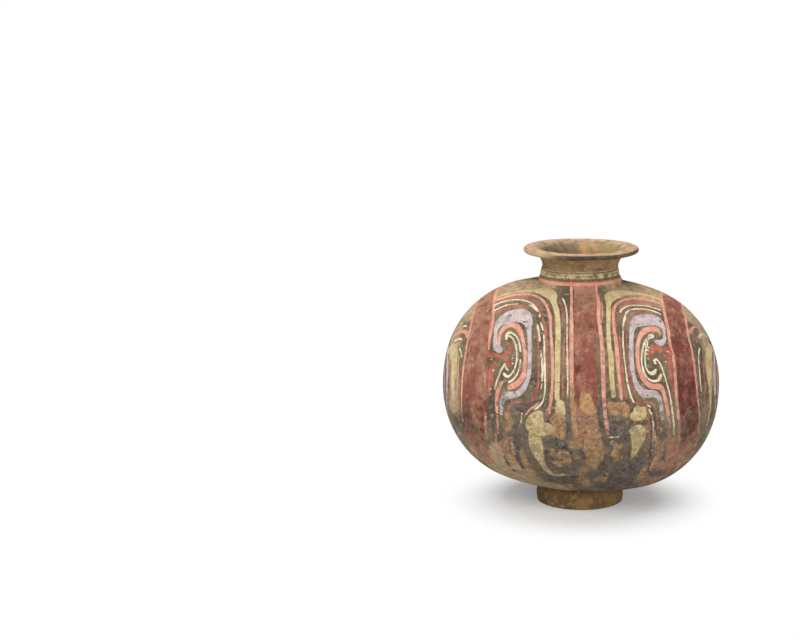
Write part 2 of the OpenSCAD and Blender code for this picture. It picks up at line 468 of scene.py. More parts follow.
RIGHT_SCROLL = (
    brush(Coat.WASH, 1.4, (79, 47.3), (66, 48), (56, 50), (49, 53.6), (44, 58.2, 1.1)),
    brush(Coat.WASH, 1.9, (73, 64.5, 1.2), (64, 66.2), (57, 68.7), (51, 72.3), (48, 77.5, 1.5),
          (47.2, 86, 1.0)),
    brush(Coat.YELLOW, 2.2, (80, 31, 1.6), (62, 32.5), (52, 35.5, 3.0), (44, 38.5, 5.0), (37, 43, 6.5),
          (31, 50, 6.3), (28.8, 57, 3.6), (28.5, 64, 2.4), (28.3, 76), (27.9, 91, 2.0), (28.2, 106),
          (28.8, 116), (30.1, 126, 2.6), (30.6, 136, 2.5), (31.3, 150), (32.6, 164, 2.3)),
    brush(Coat.YELLOW, 5.0, (56, 179, 4.0), (56, 184, 5.5)),
    brush(Coat.LAVENDER, 2.2, (75.5, 104.5, 2.6), (79.5, 104.8, 3.2), (82.6, 99.5, 2.0), (82.6, 91, 1.5),
          (80.8, 82, 3.0), (75.5, 76, 6.4), (68, 76, 7.5), (60, 79.5, 7.0), (54.2, 84.8, 4.8),
          (51.4, 92, 2.7), (50.3, 101), (49.8, 111), (49.8, 122, 2.4), (50.4, 133), (51.6, 142, 2.0),
          (53.4, 149.5), (57, 157, 3.0), (62.5, 162.5, 4.1), (69, 162.5, 3.7), (74, 163.7, 2.9),
          (77.2, 169), (78.9, 177.5, 2.0), (79.7, 186.5, 1.8), (80.3, 195, 1.2)),
    brush(Coat.PINK, 1.6, (79, 42, 2.0), (70, 42, 2.0), (62, 43.5, 1.9), (54, 46, 1.7), (47, 50.2),
          (41, 55.3), (36.5, 61.2, 1.4), (34, 67.5), (33, 76), (33.3, 89), (34.5, 101, 1.7),
          (35.7, 113, 2.0), (36.6, 126, 2.2), (37, 135, 1.7), (37.7, 143), (38.9, 153), (40, 163, 1.7),
          (40.3, 168, 1.0)),
    brush(Coat.PINK, 1.9, (79, 94, 0.9), (76, 89, 2.7), (70, 88.5, 3.2), (63.5, 93, 3.0), (59.5, 98.7, 2.5),
          (57, 106), (55.9, 116), (55.8, 125), (56.9, 134), (58.9, 141.5), (62, 148.2, 2.3),
          (66.5, 153, 2.5), (72, 155.2, 2.6), (77, 155, 2.9), (80.4, 159.5, 2.2), (82.3, 167), (83.8, 175),
          (85.1, 183), (86.6, 192, 1.4), (87.6, 199, 0.9)),
    brush(Coat.PINK, 0.7, (22, 60, 0.5), (22.2, 74), (22.6, 88, 0.4)),
    brush(Coat.CARMINE, 1.2, (79, 51), (70, 51.4), (60, 53), (52, 56), (46, 60), (41.5, 64.4),
          (38.8, 69.5, 1.0), (38, 76, 1.0), (38.2, 84, 0.7)),
    brush(Coat.CARMINE, 0.9, (38.2, 93, 0.5), (38.8, 106), (40, 121), (40.9, 131, 1.1), (41.5, 143, 1.5),
          (42.2, 151, 1.3), (43.2, 157.5), (44.7, 164), (45.6, 168, 0.6)),
    brush(Coat.CARMINE, 0.8, (47, 92, 0.6), (45.2, 102), (45.4, 112), (46.2, 122), (47.1, 132), (48.2, 141),
          (50, 150), (52.2, 158), (54.6, 164.8), (57.5, 169.4), (62, 171.2, 1.2), (67, 171.4, 1.4),
          (70.6, 173.6, 1.2), (73, 178.5), (74.5, 186), (75.3, 197), (75.5, 209, 0.6)),
    brush(Coat.CARMINE, 1.3, (55.5, 172.5, 1.8), (60, 174, 1.0)),
    brush(Coat.CARMINE, 1.2, (65.5, 179, 1.6), (66.8, 188), (67.4, 200), (67.2, 216), (66.5, 238, 0.8)),
    brush(Coat.VERMILION, 3.2, (68.8, 122, 2.6), (69, 114), (72.5, 111.5), (79, 113, 3.0), (85, 112),
          (88, 116, 2.6)),
    brush(Coat.VERMILION, 2.8, (82, 120, 2.0), (86.5, 125, 3.2), (88, 134, 2.4), (88.8, 146, 1.8),
          (90, 160, 1.4)),
    brush(Coat.WHITE, 0.85, (80, 55.6), (74, 55.4), (68, 54.5), (62, 55.8), (55, 58), (49, 60.7),
          (44.5, 64.5), (41, 68.6), (39.8, 72.2, 1.1)),
    brush(Coat.WHITE, 0.8, (80.3, 64), (77.5, 62), (72, 61.5), (66, 60.7), (60, 62.4), (54, 64.5),
          (49, 67.6), (46, 71.6), (44.6, 76), (43.8, 81.5, 1.2), (42.5, 88, 0.7), (42.1, 97, 0.7),
          (42, 110, 0.7), (42.8, 122, 0.7), (44, 134, 0.7), (45.5, 147), (46.7, 154), (48.3, 161),
          (50.3, 167), (52.3, 171.5, 0.6)),
    brush(Coat.WHITE, 0.8, (70.2, 100, 0.9), (71.8, 98.3), (70.6, 96.5), (68, 97), (66, 99.6),
          (64.5, 103.2), (63, 107.5), (61.5, 112.6), (60.3, 118.6), (59.8, 124.6), (60.1, 131), (61.1, 137),
          (63, 142.4), (65.8, 146.4), (69.2, 148.7), (73, 149.2, 1.2), (76.3, 147.6, 1.6), (78, 144.4, 1.7),
          (78.6, 141.4, 0.8)),
    brush(Coat.WHITE, 0.7, (69.3, 99.6), (67.4, 102), (66.2, 105.5), (65.3, 110), (64.2, 115), (63.4, 120),
          (63.1, 126), (63.5, 132), (64.7, 136.6), (66.7, 139.8, 1.0), (69.5, 141.2, 1.9), (72, 139.5, 2.0),
          (73.8, 136.4, 0.9)),
    brush(Coat.WHITE, 0.8, (73.4, 130, 0.9), (72, 127.2, 1.0), (73.3, 125.2, 1.0), (75.6, 126.2),
          (77.6, 129.4), (79.6, 134.4), (81.2, 140), (82.7, 145.5), (84.3, 151.5), (85.9, 158),
          (87.2, 164.5), (88.4, 172.5), (89.5, 182), (90.6, 191.5), (91.5, 200), (92, 215, 0.5)),
    brush(Coat.WHITE, 0.9, (67.2, 179.5), (69.3, 184), (70.8, 191, 0.8), (71.5, 201, 0.7), (71.6, 222, 0.5),
          (71.2, 240, 0.3)),
    brush(Coat.WHITE, 0.6, (65, 174.5), (68.5, 176.8, 0.8)),
)

RIGHT_DOTS = ((67, 112.5), (66, 116), (65.6, 120), (66.4, 125), (70.5, 117), (85.5, 114), (83.5, 127))

RIGHT_BORDERS = (
    brush(Coat.PINK, 1.8, (16.2, 35, 0.8), (16.8, 43, 1.2), (17.9, 53), (18.5, 63), (18.6, 80), (19.2, 90),
          (20.4, 100), (21.4, 112), (22.2, 126, 2.0), (22.7, 145, 2.0), (23.2, 162, 1.9), (24, 174),
          (24.6, 184, 1.5), (26, 192, 1.9), (27, 203, 1.6)),
    brush(Coat.PINK, 1.7, (83.5, 0), (82, 25), (82.7, 40), (83.5, 55), (84.5, 66), (86, 78, 1.9), (87, 88),
          (87.5, 98), (88.6, 108), (90.5, 116), (91.8, 129), (92.7, 145), (93.5, 160), (94.5, 175),
          (96, 190), (97.3, 205, 1.4), (98, 232, 0.8)),
    brush(Coat.PINK, 1.4, (104, 0), (103.5, 25), (105, 40), (107, 80), (110.6, 106), (114, 150),
          (116.5, 185), (118, 210, 1.2), (117, 250, 0.8)),
)

LOWER_CLOUDS = (
    brush(Coat.YELLOW, 8.0, (-39.5, 185, 5.0), (-43, 192, 8.4), (-44, 198.5, 8.2), (-35, 199.5, 7.4),
          (-29, 199, 5.0)),
    brush(Coat.YELLOW, 6.0, (-44.5, 206, 5.0), (-43.5, 214, 6.6), (-42, 224, 6.4), (-39.5, 235, 4.8),
          (-36.5, 246, 2.8), (-33, 254, 2.8), (-29, 260, 2.4), (-23, 263, 2.4), (-16, 260.5, 1.6)),
    brush(Coat.YELLOW, 5.0, (61, 180, 4.2), (59.5, 184.5, 5.4), (53, 185.5, 4.6)),
    brush(Coat.YELLOW, 7.0, (52, 202, 4.0), (57, 203, 7.2), (57, 208.5, 7.4), (56, 217, 5.4),
          (54, 226, 3.4), (51.5, 234, 1.5)),
    brush(Coat.WHITE, 0.7, (-56, 184), (-57.3, 195)),
    brush(Coat.WHITE, 0.9, (30, 207.5), (37.5, 207.5)),
    brush(Coat.LAVENDER, 1.3, (79.5, 203), (79.8, 213)),
    brush(Coat.PINK, 0.9, (72.5, 205), (74.5, 222), (73, 243), (69, 262, 0.5)),
    brush(Coat.WASH, 1.5, (78, 216, 1.0), (79, 236), (76, 258, 1.0)),
    brush(Coat.PINK, 1.3, (-66.5, 214), (-66, 232), (-64, 248), (-59, 266, 0.8)),
    brush(Coat.PINK, 1.1, (-82.6, 214), (-82, 234), (-77, 258, 0.7)),
    brush(Coat.WASH, 2.0, (-74, 212), (-73.6, 234), (-69, 260, 1.2)),
    brush(Coat.WASH, 1.6, (84, 200, 1.2), (86, 220), (87, 250, 1.2)),
    brush(Coat.WASH, 1.8, (94, 214, 1.4), (96, 235), (95, 262, 1.4)),
)

RIGHT_END = (
    brush(Coat.PINK, 1.6, (109.5, 72, 2.4), (112, 60), (117, 46, 1.2)),
    brush(Coat.CARMINE, 2.2, (115.5, 79), (118, 73, 1.6)),
    brush(Coat.WHITE, 0.9, (119, 70), (120.5, 60), (123.5, 49), (128, 37, 0.6)),
    brush(Coat.WHITE, 0.9, (118.6, 92), (117.2, 104), (117, 118), (117.5, 131), (118.3, 146),
          (119.4, 165, 0.6)),
    brush(Coat.CARMINE, 1.1, (121.6, 92, 0.7), (121.8, 118), (122.6, 150), (123.6, 190),
          (123.4, 222, 0.7)),
    brush(Coat.YELLOW, 4.0, (133, 48), (131, 66, 5.0), (129.4, 86, 6.4), (128.4, 104, 7.0),
          (128.2, 124, 6.0), (128.8, 146, 4.4), (129.6, 172, 3.0), (129.6, 205, 1.8), (127.5, 240, 0.9)),
    brush(Coat.PINK, 1.0, (130.6, 92, 0.7), (129, 106), (129, 124), (130, 150, 0.8)),
    brush(Coat.PINK, 0.9, (121, 56, 0.7), (117.6, 70), (115, 86, 0.7)),
)

LEFT_END = (
    brush(Coat.PINK, 1.6, (-112.5, 80, 2.6), (-115, 70, 2.2), (-121, 59), (-129, 46, 1.0)),
    brush(Coat.WHITE, 0.9, (-118.5, 80), (-122, 73), (-127, 66.5)),
    brush(Coat.WHITE, 0.9, (-114.5, 58), (-118, 52.5)),
    brush(Coat.WHITE, 0.8, (-118, 111), (-119, 102), (-120.6, 95)),
    brush(Coat.YELLOW, 6.0, (-135, 58, 3.0), (-131, 76, 6.0), (-128, 92, 7.5), (-126.6, 112, 7.0),
          (-127, 134, 5.0), (-128.4, 164, 3.2), (-127.6, 200, 1.6)),
    brush(Coat.PINK, 0.9, (-121.2, 108), (-121.5, 130), (-122.4, 160), (-123, 190, 0.6)),
    brush(Coat.WHITE, 0.8, (-127.6, 130), (-127.6, 148), (-126.6, 168), (-126, 196, 0.5)),
    brush(Coat.CARMINE, 0.9, (-131, 112), (-131.6, 150), (-131, 190, 0.6)),
)

END_RINGS = (
    brush(Coat.LAVENDER, 2.6, (136.2, 0), (136, 46), (135.2, 84, 3.0), (134.6, 122, 3.6), (135, 162, 3.2),
          (136, 214, 2.2), (136.4, 284, 1.8), (136.4, 354, 1.8)),
    brush(Coat.PINK, 1.4, (138.8, 0), (138.7, 60), (138.2, 122, 1.6), (138.5, 190), (138.8, 270),
          (138.8, 354)),
)

WORN_PATCHES = (
    brush(Coat.OCHRE, 6.0, (2.5, 161, 2.4), (5, 166), (7.5, 172, 6.4), (9.5, 180, 4.0)),
    brush(Coat.OCHRE, 2.0, (-7.5, 150, 1.2), (-6.5, 170), (-5, 190), (-4, 206, 2.4)),
    brush(Coat.OCHRE, 8.0, (12, 190, 4.5), (13, 204, 7.0), (13.5, 216, 9.4), (14.5, 229, 9.6),
          (13, 240, 6.6), (8.5, 249, 3.0)),
    brush(Coat.OCHRE, 7.0, (-21, 188), (-20.5, 199, 6.4), (-18, 207, 3.4)),
    brush(Coat.OCHRE, 4.6, (-8, 213), (-4.5, 217, 5.4), (1, 211, 2.4)),
    brush(Coat.OCHRE, 3.6, (-28, 223, 2.4), (-22, 230), (-14.5, 228, 3.8), (-11.5, 237, 3.8),
          (-17.5, 243.5), (-24, 241.5, 2.4)),
    brush(Coat.OCHRE, 2.8, (-2.5, 231), (-0.5, 231.5, 2.2)),
    brush(Coat.OCHRE, 3.6, (2.5, 254, 2.4), (2, 266), (5, 275, 5.2), (4, 284, 2.6)),
    brush(Coat.OCHRE, 4.4, (15, 270.5, 3.0), (21.5, 267), (24.5, 273, 3.6)),
    brush(Coat.OCHRE, 5.4, (31, 173, 4.0), (35, 177, 6.0), (42, 175, 4.6), (45.5, 183, 3.6)),
    brush(Coat.OCHRE, 3.0, (33, 214, 2.0), (37, 221, 3.6), (34.5, 228.5, 3.4), (38.5, 236, 2.0)),
    brush(Coat.OCHRE, 3.4, (-70, 189, 4.0), (-68, 196), (-71, 208, 2.2)),
    brush(Coat.OCHRE, 2.6, (-77.5, 224, 2.0), (-77, 234, 3.2), (-77, 246, 2.0)),
    brush(Coat.OCHRE, 2.4, (66, 246, 1.6), (64.5, 256), (61.5, 264), (59.5, 273, 2.8), (58, 284, 2.8)),
    brush(Coat.BUFF, 16.0, (-80, 236, 9.0), (-79, 256), (-76, 280, 22.0), (-58, 292, 20.0),
          (-20, 304, 16.0)),
    brush(Coat.BUFF, 12.0, (-60, 262, 8.0), (-50, 274, 10.0)),
    brush(Coat.BUFF, 26.0, (-104, 18), (-72, 24), (-48, 27, 16.0), (-30, 32, 9.0)),
    brush(Coat.BUFF, 26.0, (30, 32, 9.0), (48, 27, 16.0), (72, 24), (104, 18)),
    brush(Coat.SCRAPS, 38.0, (-34, 218, 34.0), (0, 212, 42.0), (46, 216)),
    brush(Coat.SCRAPS, 34.0, (-14, 256), (44, 258)),
    brush(Coat.BUFF, 14.0, (-126, 40), (-128, 90, 12.0), (-127, 150, 10.0), (-128, 200, 10.0)),
    brush(Coat.BUFF, 13.0, (124, 40), (127, 80, 10.0), (130, 140, 8.0)),
    brush(Coat.RUST, 12.0, (86, 226, 8.0), (88, 246), (84, 268, 14.0), (70, 292, 12.0)),
    brush(Coat.RUST, 7.0, (-97, 246, 5.0), (-95, 258, 7.0), (-91, 270, 6.0)),
    brush(Coat.RUST, 5.0, (-94, 84, 2.0), (-97, 98, 3.0), (-94.5, 112), (-97, 126, 6.0), (-94, 142),
          (-97, 157, 6.0), (-93, 172, 3.0)),
    brush(Coat.RUST, 4.0, (-104, 176, 2.0), (-106, 190), (-102, 204, 3.0)),
    brush(Coat.RUST, 6.0, (0, 180, 4.0), (0, 198, 6.0), (4, 214, 4.0)),
    brush(Coat.CHAR, 6.0, (-27, 214), (-19, 214.5, 6.4), (-13.5, 219, 4.0)),
    brush(Coat.CHAR, 3.0, (-31.5, 228), (-30.5, 238)),
    brush(Coat.CHAR, 2.6, (-12.6, 176, 2.0), (-12.2, 190), (-10, 208, 3.4)),
    brush(Coat.CHAR, 2.2, (19.8, 160, 1.6), (20.6, 182), (22, 198, 3.0)),
    brush(Coat.CHAR, 3.6, (-9.5, 228), (-5, 223.5, 3.0), (2.5, 226, 3.0), (2.5, 238, 3.4), (-6, 241)),
    brush(Coat.CHAR, 4.4, (-26, 250), (-16, 252, 5.0), (-7, 251, 4.0)),
    brush(Coat.CHAR, 9.0, (-32, 272, 6.0), (-18, 274), (-5, 266, 6.0)),
    brush(Coat.CHAR, 6.0, (-62, 180), (-56, 183, 5.0)),
    brush(Coat.CHAR, 8.0, (-60, 203), (-66, 214, 6.0), (-57, 222, 6.0)),
    brush(Coat.CHAR, 7.0, (33, 193), (39, 198), (44, 210, 6.0), (30, 215, 4.0)),
    brush(Coat.CHAR, 13.0, (34, 250, 8.0), (46, 252), (42, 272), (22, 286, 6.0), (60, 240, 7.0)),
    brush(Coat.CHAR, 5.0, (14, 258), (21, 261), (9, 263, 4.0)),
    brush(Coat.CHAR, 6.0, (72, 268), (82, 278)),
    brush(Coat.CHAR, 2.0, (69.3, 200), (70, 222), (68, 246), (64, 268, 1.2)),
    brush(Coat.CHAR, 2.0, (82.5, 208), (83.5, 228), (81.5, 252, 1.2)),
    brush(Coat.CHAR, 2.0, (-78.5, 204), (-78, 225), (-74, 250), (-67, 270, 1.2)),
    brush(Coat.CHAR, 2.0, (-62, 226), (-60, 246), (-54, 268, 1.2)),
    brush(Coat.OCHRE, 2.4, (-70.5, 216), (-69.5, 238), (-64, 262, 1.6)),
    brush(Coat.OCHRE, 2.6, (-56, 230), (-54, 250), (-48, 270, 1.6)),
    brush(Coat.OCHRE, 2.0, (76, 214), (76, 238), (71.5, 262, 1.4)),
    brush(Coat.CHAR, 1.6, (-86, 177), (-70, 174), (-54, 177), (-38, 170), (-22, 172), (-6, 168)),
    brush(Coat.CHAR, 1.6, (18, 178), (30, 172.5), (45, 171), (58, 174.5), (72, 181)),
)


class Painting:
    """The whole painting, measured as distances into each coat."""

    REACH = 9.0
    DOT_RADIUS = 0.9

    def __init__(self, form: CocoonForm) -> None:
        """Gathers the strokes for a body.

        Args:
            form: The body that carries them.
        """
        self.form = form
        dots = tuple(brush(Coat.WHITE, self.DOT_RADIUS, spot) for spot in LEFT_DOTS + RIGHT_DOTS)
        self.strokes = (
            LEFT_SCROLL + LEFT_BORDERS + RIGHT_SCROLL + RIGHT_BORDERS + LOWER_CLOUDS + LEFT_END + RIGHT_END
            + END_RINGS + mirrored(END_RINGS) + WORN_PATCHES + dots
        )

    def coat_depths(self, along: np.ndarray, girth: np.ndarray) -> dict[str, np.ndarray]:
        """Measures how far inside each coat's edge points lie.

        Args:
            along: Places along the jar.
            girth: Girths from the crown.

        Returns:
            Millimetres inside the edge for each coat, negative outside it.
        """
        laid = self.form.lay(along, girth)
        depths = {coat.value: np.full(len(along), -self.REACH) for coat in Coat}
        for stroke in self.strokes:
            path = stroke.path()
            reach = self.REACH + path[:, 2].max()
            near = np.flatnonzero(
                (along > path[:, 0].min() - reach) & (along < path[:, 0].max() + reach)
                & (girth > path[:, 1].min() - 2 * reach) & (girth < path[:, 1].max() + 2 * reach)
            )
            inside = self._inside(laid[near], path)
            depths[stroke.coat.value][near] = np.maximum(depths[stroke.coat.value][near], inside)
        return depths

    def _inside(self, points: np.ndarray, path: np.ndarray) -> np.ndarray:
        """Distance of points inside one stroke's edge.

        Args:
            points: Points on the level body.
            path: The stroke's path on the chart.

        Returns:
            Millimetres inside the edge, negative outside it.
        """
        spine = self.form.lay(path[:, 0], path[:, 1])
        best = path[0, 2] - np.linalg.norm(points - spine[0], axis=1)
        for start, end, leave, reach in zip(spine[:-1], spine[1:], path[:-1, 2], path[1:, 2]):
            leap = end - start
            t = np.clip((points - start) @ leap / max(leap @ leap, 1e-9), 0.0, 1.0)
            gap = np.linalg.norm(points - start - t[:, None] * leap, axis=1)
            best = np.maximum(best, leave + (reach - leave) * t - gap)
        return best

    def band_depths(self, along: np.ndarray, girth: np.ndarray) -> dict[str, np.ndarray]:
        """Measures the red bands.

        Args:
            along: Places along the jar.
            girth: Girths from the crown.

        Returns:
            Millimetres inside a band's edge, and how deep its red is.
        """
        band = np.full(len(along), -self.REACH)
        red = np.zeros(len(along))
        for table in (np.array(each.rows) for each in BANDS):
            left = np.interp(girth, table[:, 0], table[:, 1])
            right = np.interp(girth, table[:, 0], table[:, 2])
            inside = np.minimum(along - left, right - along)
            # A band that starts at the crown runs on over it
            margin = self.REACH if table[0, 0] == 0 else 0.0
            inside = np.minimum(inside, girth - table[0, 0] + margin)
            inside = np.minimum(inside, table[-1, 0] - girth)
            within = inside > band
            band = np.where(within, inside, band)
            red = np.where(within, np.interp(girth, table[:, 0], table[:, 3]), red)
        return {"band": np.maximum(band, -self.REACH), "band_red": red}

    def apply(self, piece: bpy.types.Object) -> None:
        """Stores the painting on a piece of the body.

        Args:
            piece: A half of the body, or the cordon.
        """
        points = points_of(piece)
        along, girth = self.form.chart(points)
        # Only the outside is painted
        level = np.array(self.form.axis_to_jar().inverted())
        own = points @ level[:3, :3].T + level[:3, 3]
        outer = np.hypot(own[:, 1], own[:, 2]) > self.form.radius(own[:, 0]) - self.form.wall / 2
        outer |= np.abs(own[:, 0]) > self.form.half_length - self.form.wall / 2
        layers = self.coat_depths(along, girth) | self.band_depths(along, girth)
        for name, values in layers.items():
            bare = 0.0 if name == "band_red" else -self.REACH
            set_attribute(piece, name, np.where(outer, values, bare))
        set_attribute(piece, "girth", np.where(outer, girth, 0.0))


# Materials


def linear(colour: str) -> tuple[float, float, float, float]:
    """Reads a colour as it looks on a screen into the renderer's own numbers.

    Args:
        colour: Six hexadecimal digits.

    Returns:
        Red, green, blue and alpha.
    """
    shown = (int(colour[i:i + 2], 16) / 255 for i in (0, 2, 4))
    return *(c / 12.92 if c <= 0.04045 else ((c + 0.055) / 1.055) ** 2.4 for c in shown), 1.0


Feed = bpy.types.NodeSocket | float | tuple | str


class Wiring:
    """Places and joins the nodes of one material or node group."""

    def __init__(self, tree: bpy.types.NodeTree) -> None:
        """Takes the tree to wire."""
        self.tree = tree

    def add(self, kind: str, **settings: object) -> bpy.types.Node:
        """Adds a node.

        Args:
            kind: Type of the node, without its ShaderNode prefix.
            settings: Values of the node's own properties.

        Returns:
            The node.
        """
        node = self.tree.nodes.new("ShaderNode" + kind)
        for name, value in settings.items():
            setattr(node, name, value)
        return node

    def feed(self, socket: bpy.types.NodeSocket, value: Feed) -> None:
        """Links a socket to another, or gives it a number or a colour.

        Args:
            socket: The input.
            value: A socket, a number, a vector, or a colour as six hexadecimal digits.
        """
        if isinstance(value, bpy.types.NodeSocket):
            self.tree.links.new(socket, value)
        else:
            socket.default_value = linear(value) if isinstance(value, str) else value

    def math(self, operation: str, first: Feed, second: Feed = 0.0) -> bpy.types.NodeSocket:
        """Works out one number from two.

        Args:
            operation: Name of the operation.
            first: First number.
            second: Second number, where the operation has one.

        Returns:
            The result.
        """
        node = self.add("Math", operation=operation)
        self.feed(node.inputs[0], first)
        self.feed(node.inputs[1], second)
        return node.outputs[0]

    def ease(self, value: Feed, low: Feed, high: Feed) -> bpy.types.NodeSocket:
        """Rises smoothly from 0 at a low value to 1 at a high one.

        Args:
            value: The number that is eased.
            low: Where the rise starts.
            high: Where it ends.

        Returns:
            The eased number.
        """
        node = self.add("MapRange", interpolation_type="SMOOTHSTEP")
        for socket, number in zip(node.inputs, (value, low, high)):
            self.feed(socket, number)
        return node.outputs[0]

    def mix(self, share: Feed, under: Feed, over: Feed) -> bpy.types.NodeSocket:
        """Mixes two colours.

        Args:
            share: Share of the second colour.
            under: First colour.
            over: Second colour.

        Returns:
            The mixed colour.
        """
        node = self.add("Mix", data_type="RGBA")
        self.feed(node.inputs[0], share)
        self.feed(node.inputs[6], under)
        self.feed(node.inputs[7], over)
        return node.outputs[2]

    def grain(self, place: Feed, size: float, detail: float, rough: float) -> bpy.types.NodeSocket:
        """Noise with features of a real size.

        Args:
            place: Where it is read, in metres.
            size: Size of its features in millimetres.
            detail: Number of finer layers.
            rough: Strength of the finer layers.

        Returns:
            A number about one half.
        """
        node = self.add("TexNoise")
        self.feed(node.inputs["Vector"], place)
        node.inputs["Scale"].default_value = 1.0 / (size * METRE)
        node.inputs["Detail"].default_value = detail
        node.inputs["Roughness"].default_value = rough
        return node.outputs[0]

    def stretched(self, place: Feed, scale: tuple[float, float, float]) -> bpy.types.NodeSocket:
        """Places stretched along the axes, for streaks."""
        node = self.add("Mapping")
        self.feed(node.inputs["Vector"], place)
        node.inputs["Scale"].default_value = scale
        return node.outputs[0]

    def attribute(self, name: str) -> bpy.types.NodeSocket:
        """A number stored on the piece's vertices."""
        return self.add("Attribute", attribute_name=name).outputs["Fac"]

    def place(self) -> bpy.types.NodeSocket:
        """The place on the piece, in metres."""
        return self.add("TexCoord").outputs["Object"]

    def group(self, effect: bpy.types.NodeTree, **feeds: Feed) -> dict[str, bpy.types.NodeSocket]:
        """Places a node group.

        Args:
            effect: The group.
            feeds: What its inputs are given.

        Returns:
            Its outputs by name.
        """
        node = self.add("Group", node_tree=effect)
        for name, value in feeds.items():
            self.feed(node.inputs[name], value)
        return {socket.name: socket for socket in node.outputs}


def new_group(
    name: str, inputs: dict[str, str], outputs: dict[str, str]
) -> tuple[Wiring, dict, bpy.types.Node]:
    """Starts a shader node group.

    Args:
        name: Name of the group.
        inputs: Kind of each input socket by name.
        outputs: Kind of each output socket by name.

    Returns:
        Its wiring, its inputs by name and its output node.
    """
    tree = bpy.data.node_groups.new(name, "ShaderNodeTree")
    for way, sockets in (("INPUT", inputs), ("OUTPUT", outputs)):
        for label, kind in sockets.items():
            tree.interface.new_socket(name=label, in_out=way, socket_type="NodeSocket" + kind)
    entry = tree.nodes.new("NodeGroupInput")
    leave = tree.nodes.new("NodeGroupOutput")
    return Wiring(tree), {socket.name: socket for socket in entry.outputs}, leave


class Effects:
    """Node groups that the jar's finishes share."""

    FILM = "a48b6c"
    DUST = "b39a7c"
    PIT = "463b2f"

    def __init__(self) -> None:
        """Builds each group once."""
        self.earth = self._mottled_earth()
        self.coat = self._brush_coat()
        self.loss = self._flaked_loss()
        self.turned = self._turned_place()
        self.weather = self._weathering()

    @staticmethod
    def _mottled_earth() -> bpy.types.NodeTree:
        """Fired clay in three tones, with fine grit."""
        wiring, given, leave = new_group(
            "mottled_earth",
            {"Place": "Vector", "Light": "Color", "Middle": "Color", "Dark": "Color"},
            {"Colour": "Color", "Grit": "Float"},
        )
        cloud = wiring.grain(given["Place"], size=26, detail=5, rough=0.62)
        spot = wiring.grain(given["Place"], size=5, detail=4, rough=0.6)
        grit = wiring.grain(given["Place"], size=0.9, detail=3, rough=0.6)
        colour = wiring.mix(wiring.ease(cloud, 0.38, 0.62), given["Dark"], given["Middle"])
        colour = wiring.mix(wiring.ease(spot, 0.5, 0.72), colour, given["Light"])
        colour = wiring.mix(wiring.ease(grit, 0.5, 0.8), colour, given["Dark"])
        wiring.feed(leave.inputs["Colour"], colour)
        wiring.feed(leave.inputs["Grit"], grit)
        return wiring.tree

    @staticmethod
    def _brush_coat() -> bpy.types.NodeTree:
        """A coat of pigment inside its brushed edge, mottled between two tones."""
        wiring, given, leave = new_group(
            "brush_coat",
            {"Under": "Color", "Light": "Color", "Dark": "Color", "Tone": "Float", "Depth": "Float",
             "Tremor": "Float", "Soft": "Float", "Loss": "Float"},
            {"Colour": "Color", "Cover": "Float"},
        )
        edge = wiring.math("ADD", given["Depth"], given["Tremor"])
        cover = wiring.ease(edge, wiring.math("MULTIPLY", given["Soft"], -1.0), given["Soft"])
        cover = wiring.math("MULTIPLY", cover, wiring.math("SUBTRACT", 1.0, given["Loss"]))
        paint = wiring.mix(given["Tone"], given["Dark"], given["Light"])
        wiring.feed(leave.inputs["Colour"], wiring.mix(cover, given["Under"], paint))
        wiring.feed(leave.inputs["Cover"], cover)
        return wiring.tree

    @staticmethod
    def _flaked_loss() -> bpy.types.NodeTree:
        """Where paint has flaked off or been rubbed through, more as age rises from 0 to 1."""
        wiring, given, leave = new_group(
            "flaked_loss", {"Place": "Vector", "Age": "Float"}, {"Flakes": "Float", "Specks": "Float"}
        )
        flake = wiring.grain(given["Place"], size=7, detail=6, rough=0.7)
        speck = wiring.grain(given["Place"], size=1.7, detail=3, rough=0.6)
        worn = wiring.math("MULTIPLY", given["Age"], 0.22)
        wiring.feed(leave.inputs["Flakes"], wiring.ease(wiring.math("ADD", flake, worn), 0.68, 0.74))
        wiring.feed(leave.inputs["Specks"], wiring.ease(wiring.math("ADD", speck, worn), 0.70, 0.78))
        return wiring.tree

    def _weathering(self) -> bpy.types.NodeTree:
        """Pale earth left in the grain, and small dark pits."""
        wiring, given, leave = new_group(
            "weathering", {"Place": "Vector", "Colour": "Color"}, {"Colour": "Color", "Pits": "Float"}
        )
        dust = wiring.ease(wiring.grain(given["Place"], size=2.4, detail=5, rough=0.68), 0.55, 0.72)
        pits = wiring.ease(wiring.grain(given["Place"], size=2.0, detail=3, rough=0.6), 0.63, 0.70)
        film = wiring.ease(wiring.grain(given["Place"], size=18, detail=5, rough=0.65), 0.45, 0.7)
        colour = wiring.mix(wiring.math("MULTIPLY", film, 0.16), given["Colour"], self.FILM)
        colour = wiring.mix(wiring.math("MULTIPLY", dust, 0.38), colour, self.DUST)
        colour = wiring.mix(wiring.math("MULTIPLY", pits, 0.5), colour, self.PIT)
        wiring.feed(leave.inputs["Colour"], colour)
        wiring.feed(leave.inputs["Pits"], pits)
        return wiring.tree

    @staticmethod
    def _turned_place() -> bpy.types.NodeTree:
        """Radius and height on a piece that was turned on the wheel, in millimetres."""
        wiring, given, leave = new_group(
            "turned_place", {"Place": "Vector"}, {"Radius": "Float", "Height": "Float"}
        )
        split = wiring.add("SeparateXYZ")
        wiring.feed(split.inputs[0], given["Place"])
        square_x = wiring.math("POWER", split.outputs[0], 2.0)
        square_y = wiring.math("POWER", split.outputs[1], 2.0)
        radius = wiring.math("SQRT", wiring.math("ADD", square_x, square_y))
        wiring.feed(leave.inputs["Radius"], wiring.math("DIVIDE", radius, METRE))
        wiring.feed(leave.inputs["Height"], wiring.math("DIVIDE", split.outputs[2], METRE))
        return wiring.tree


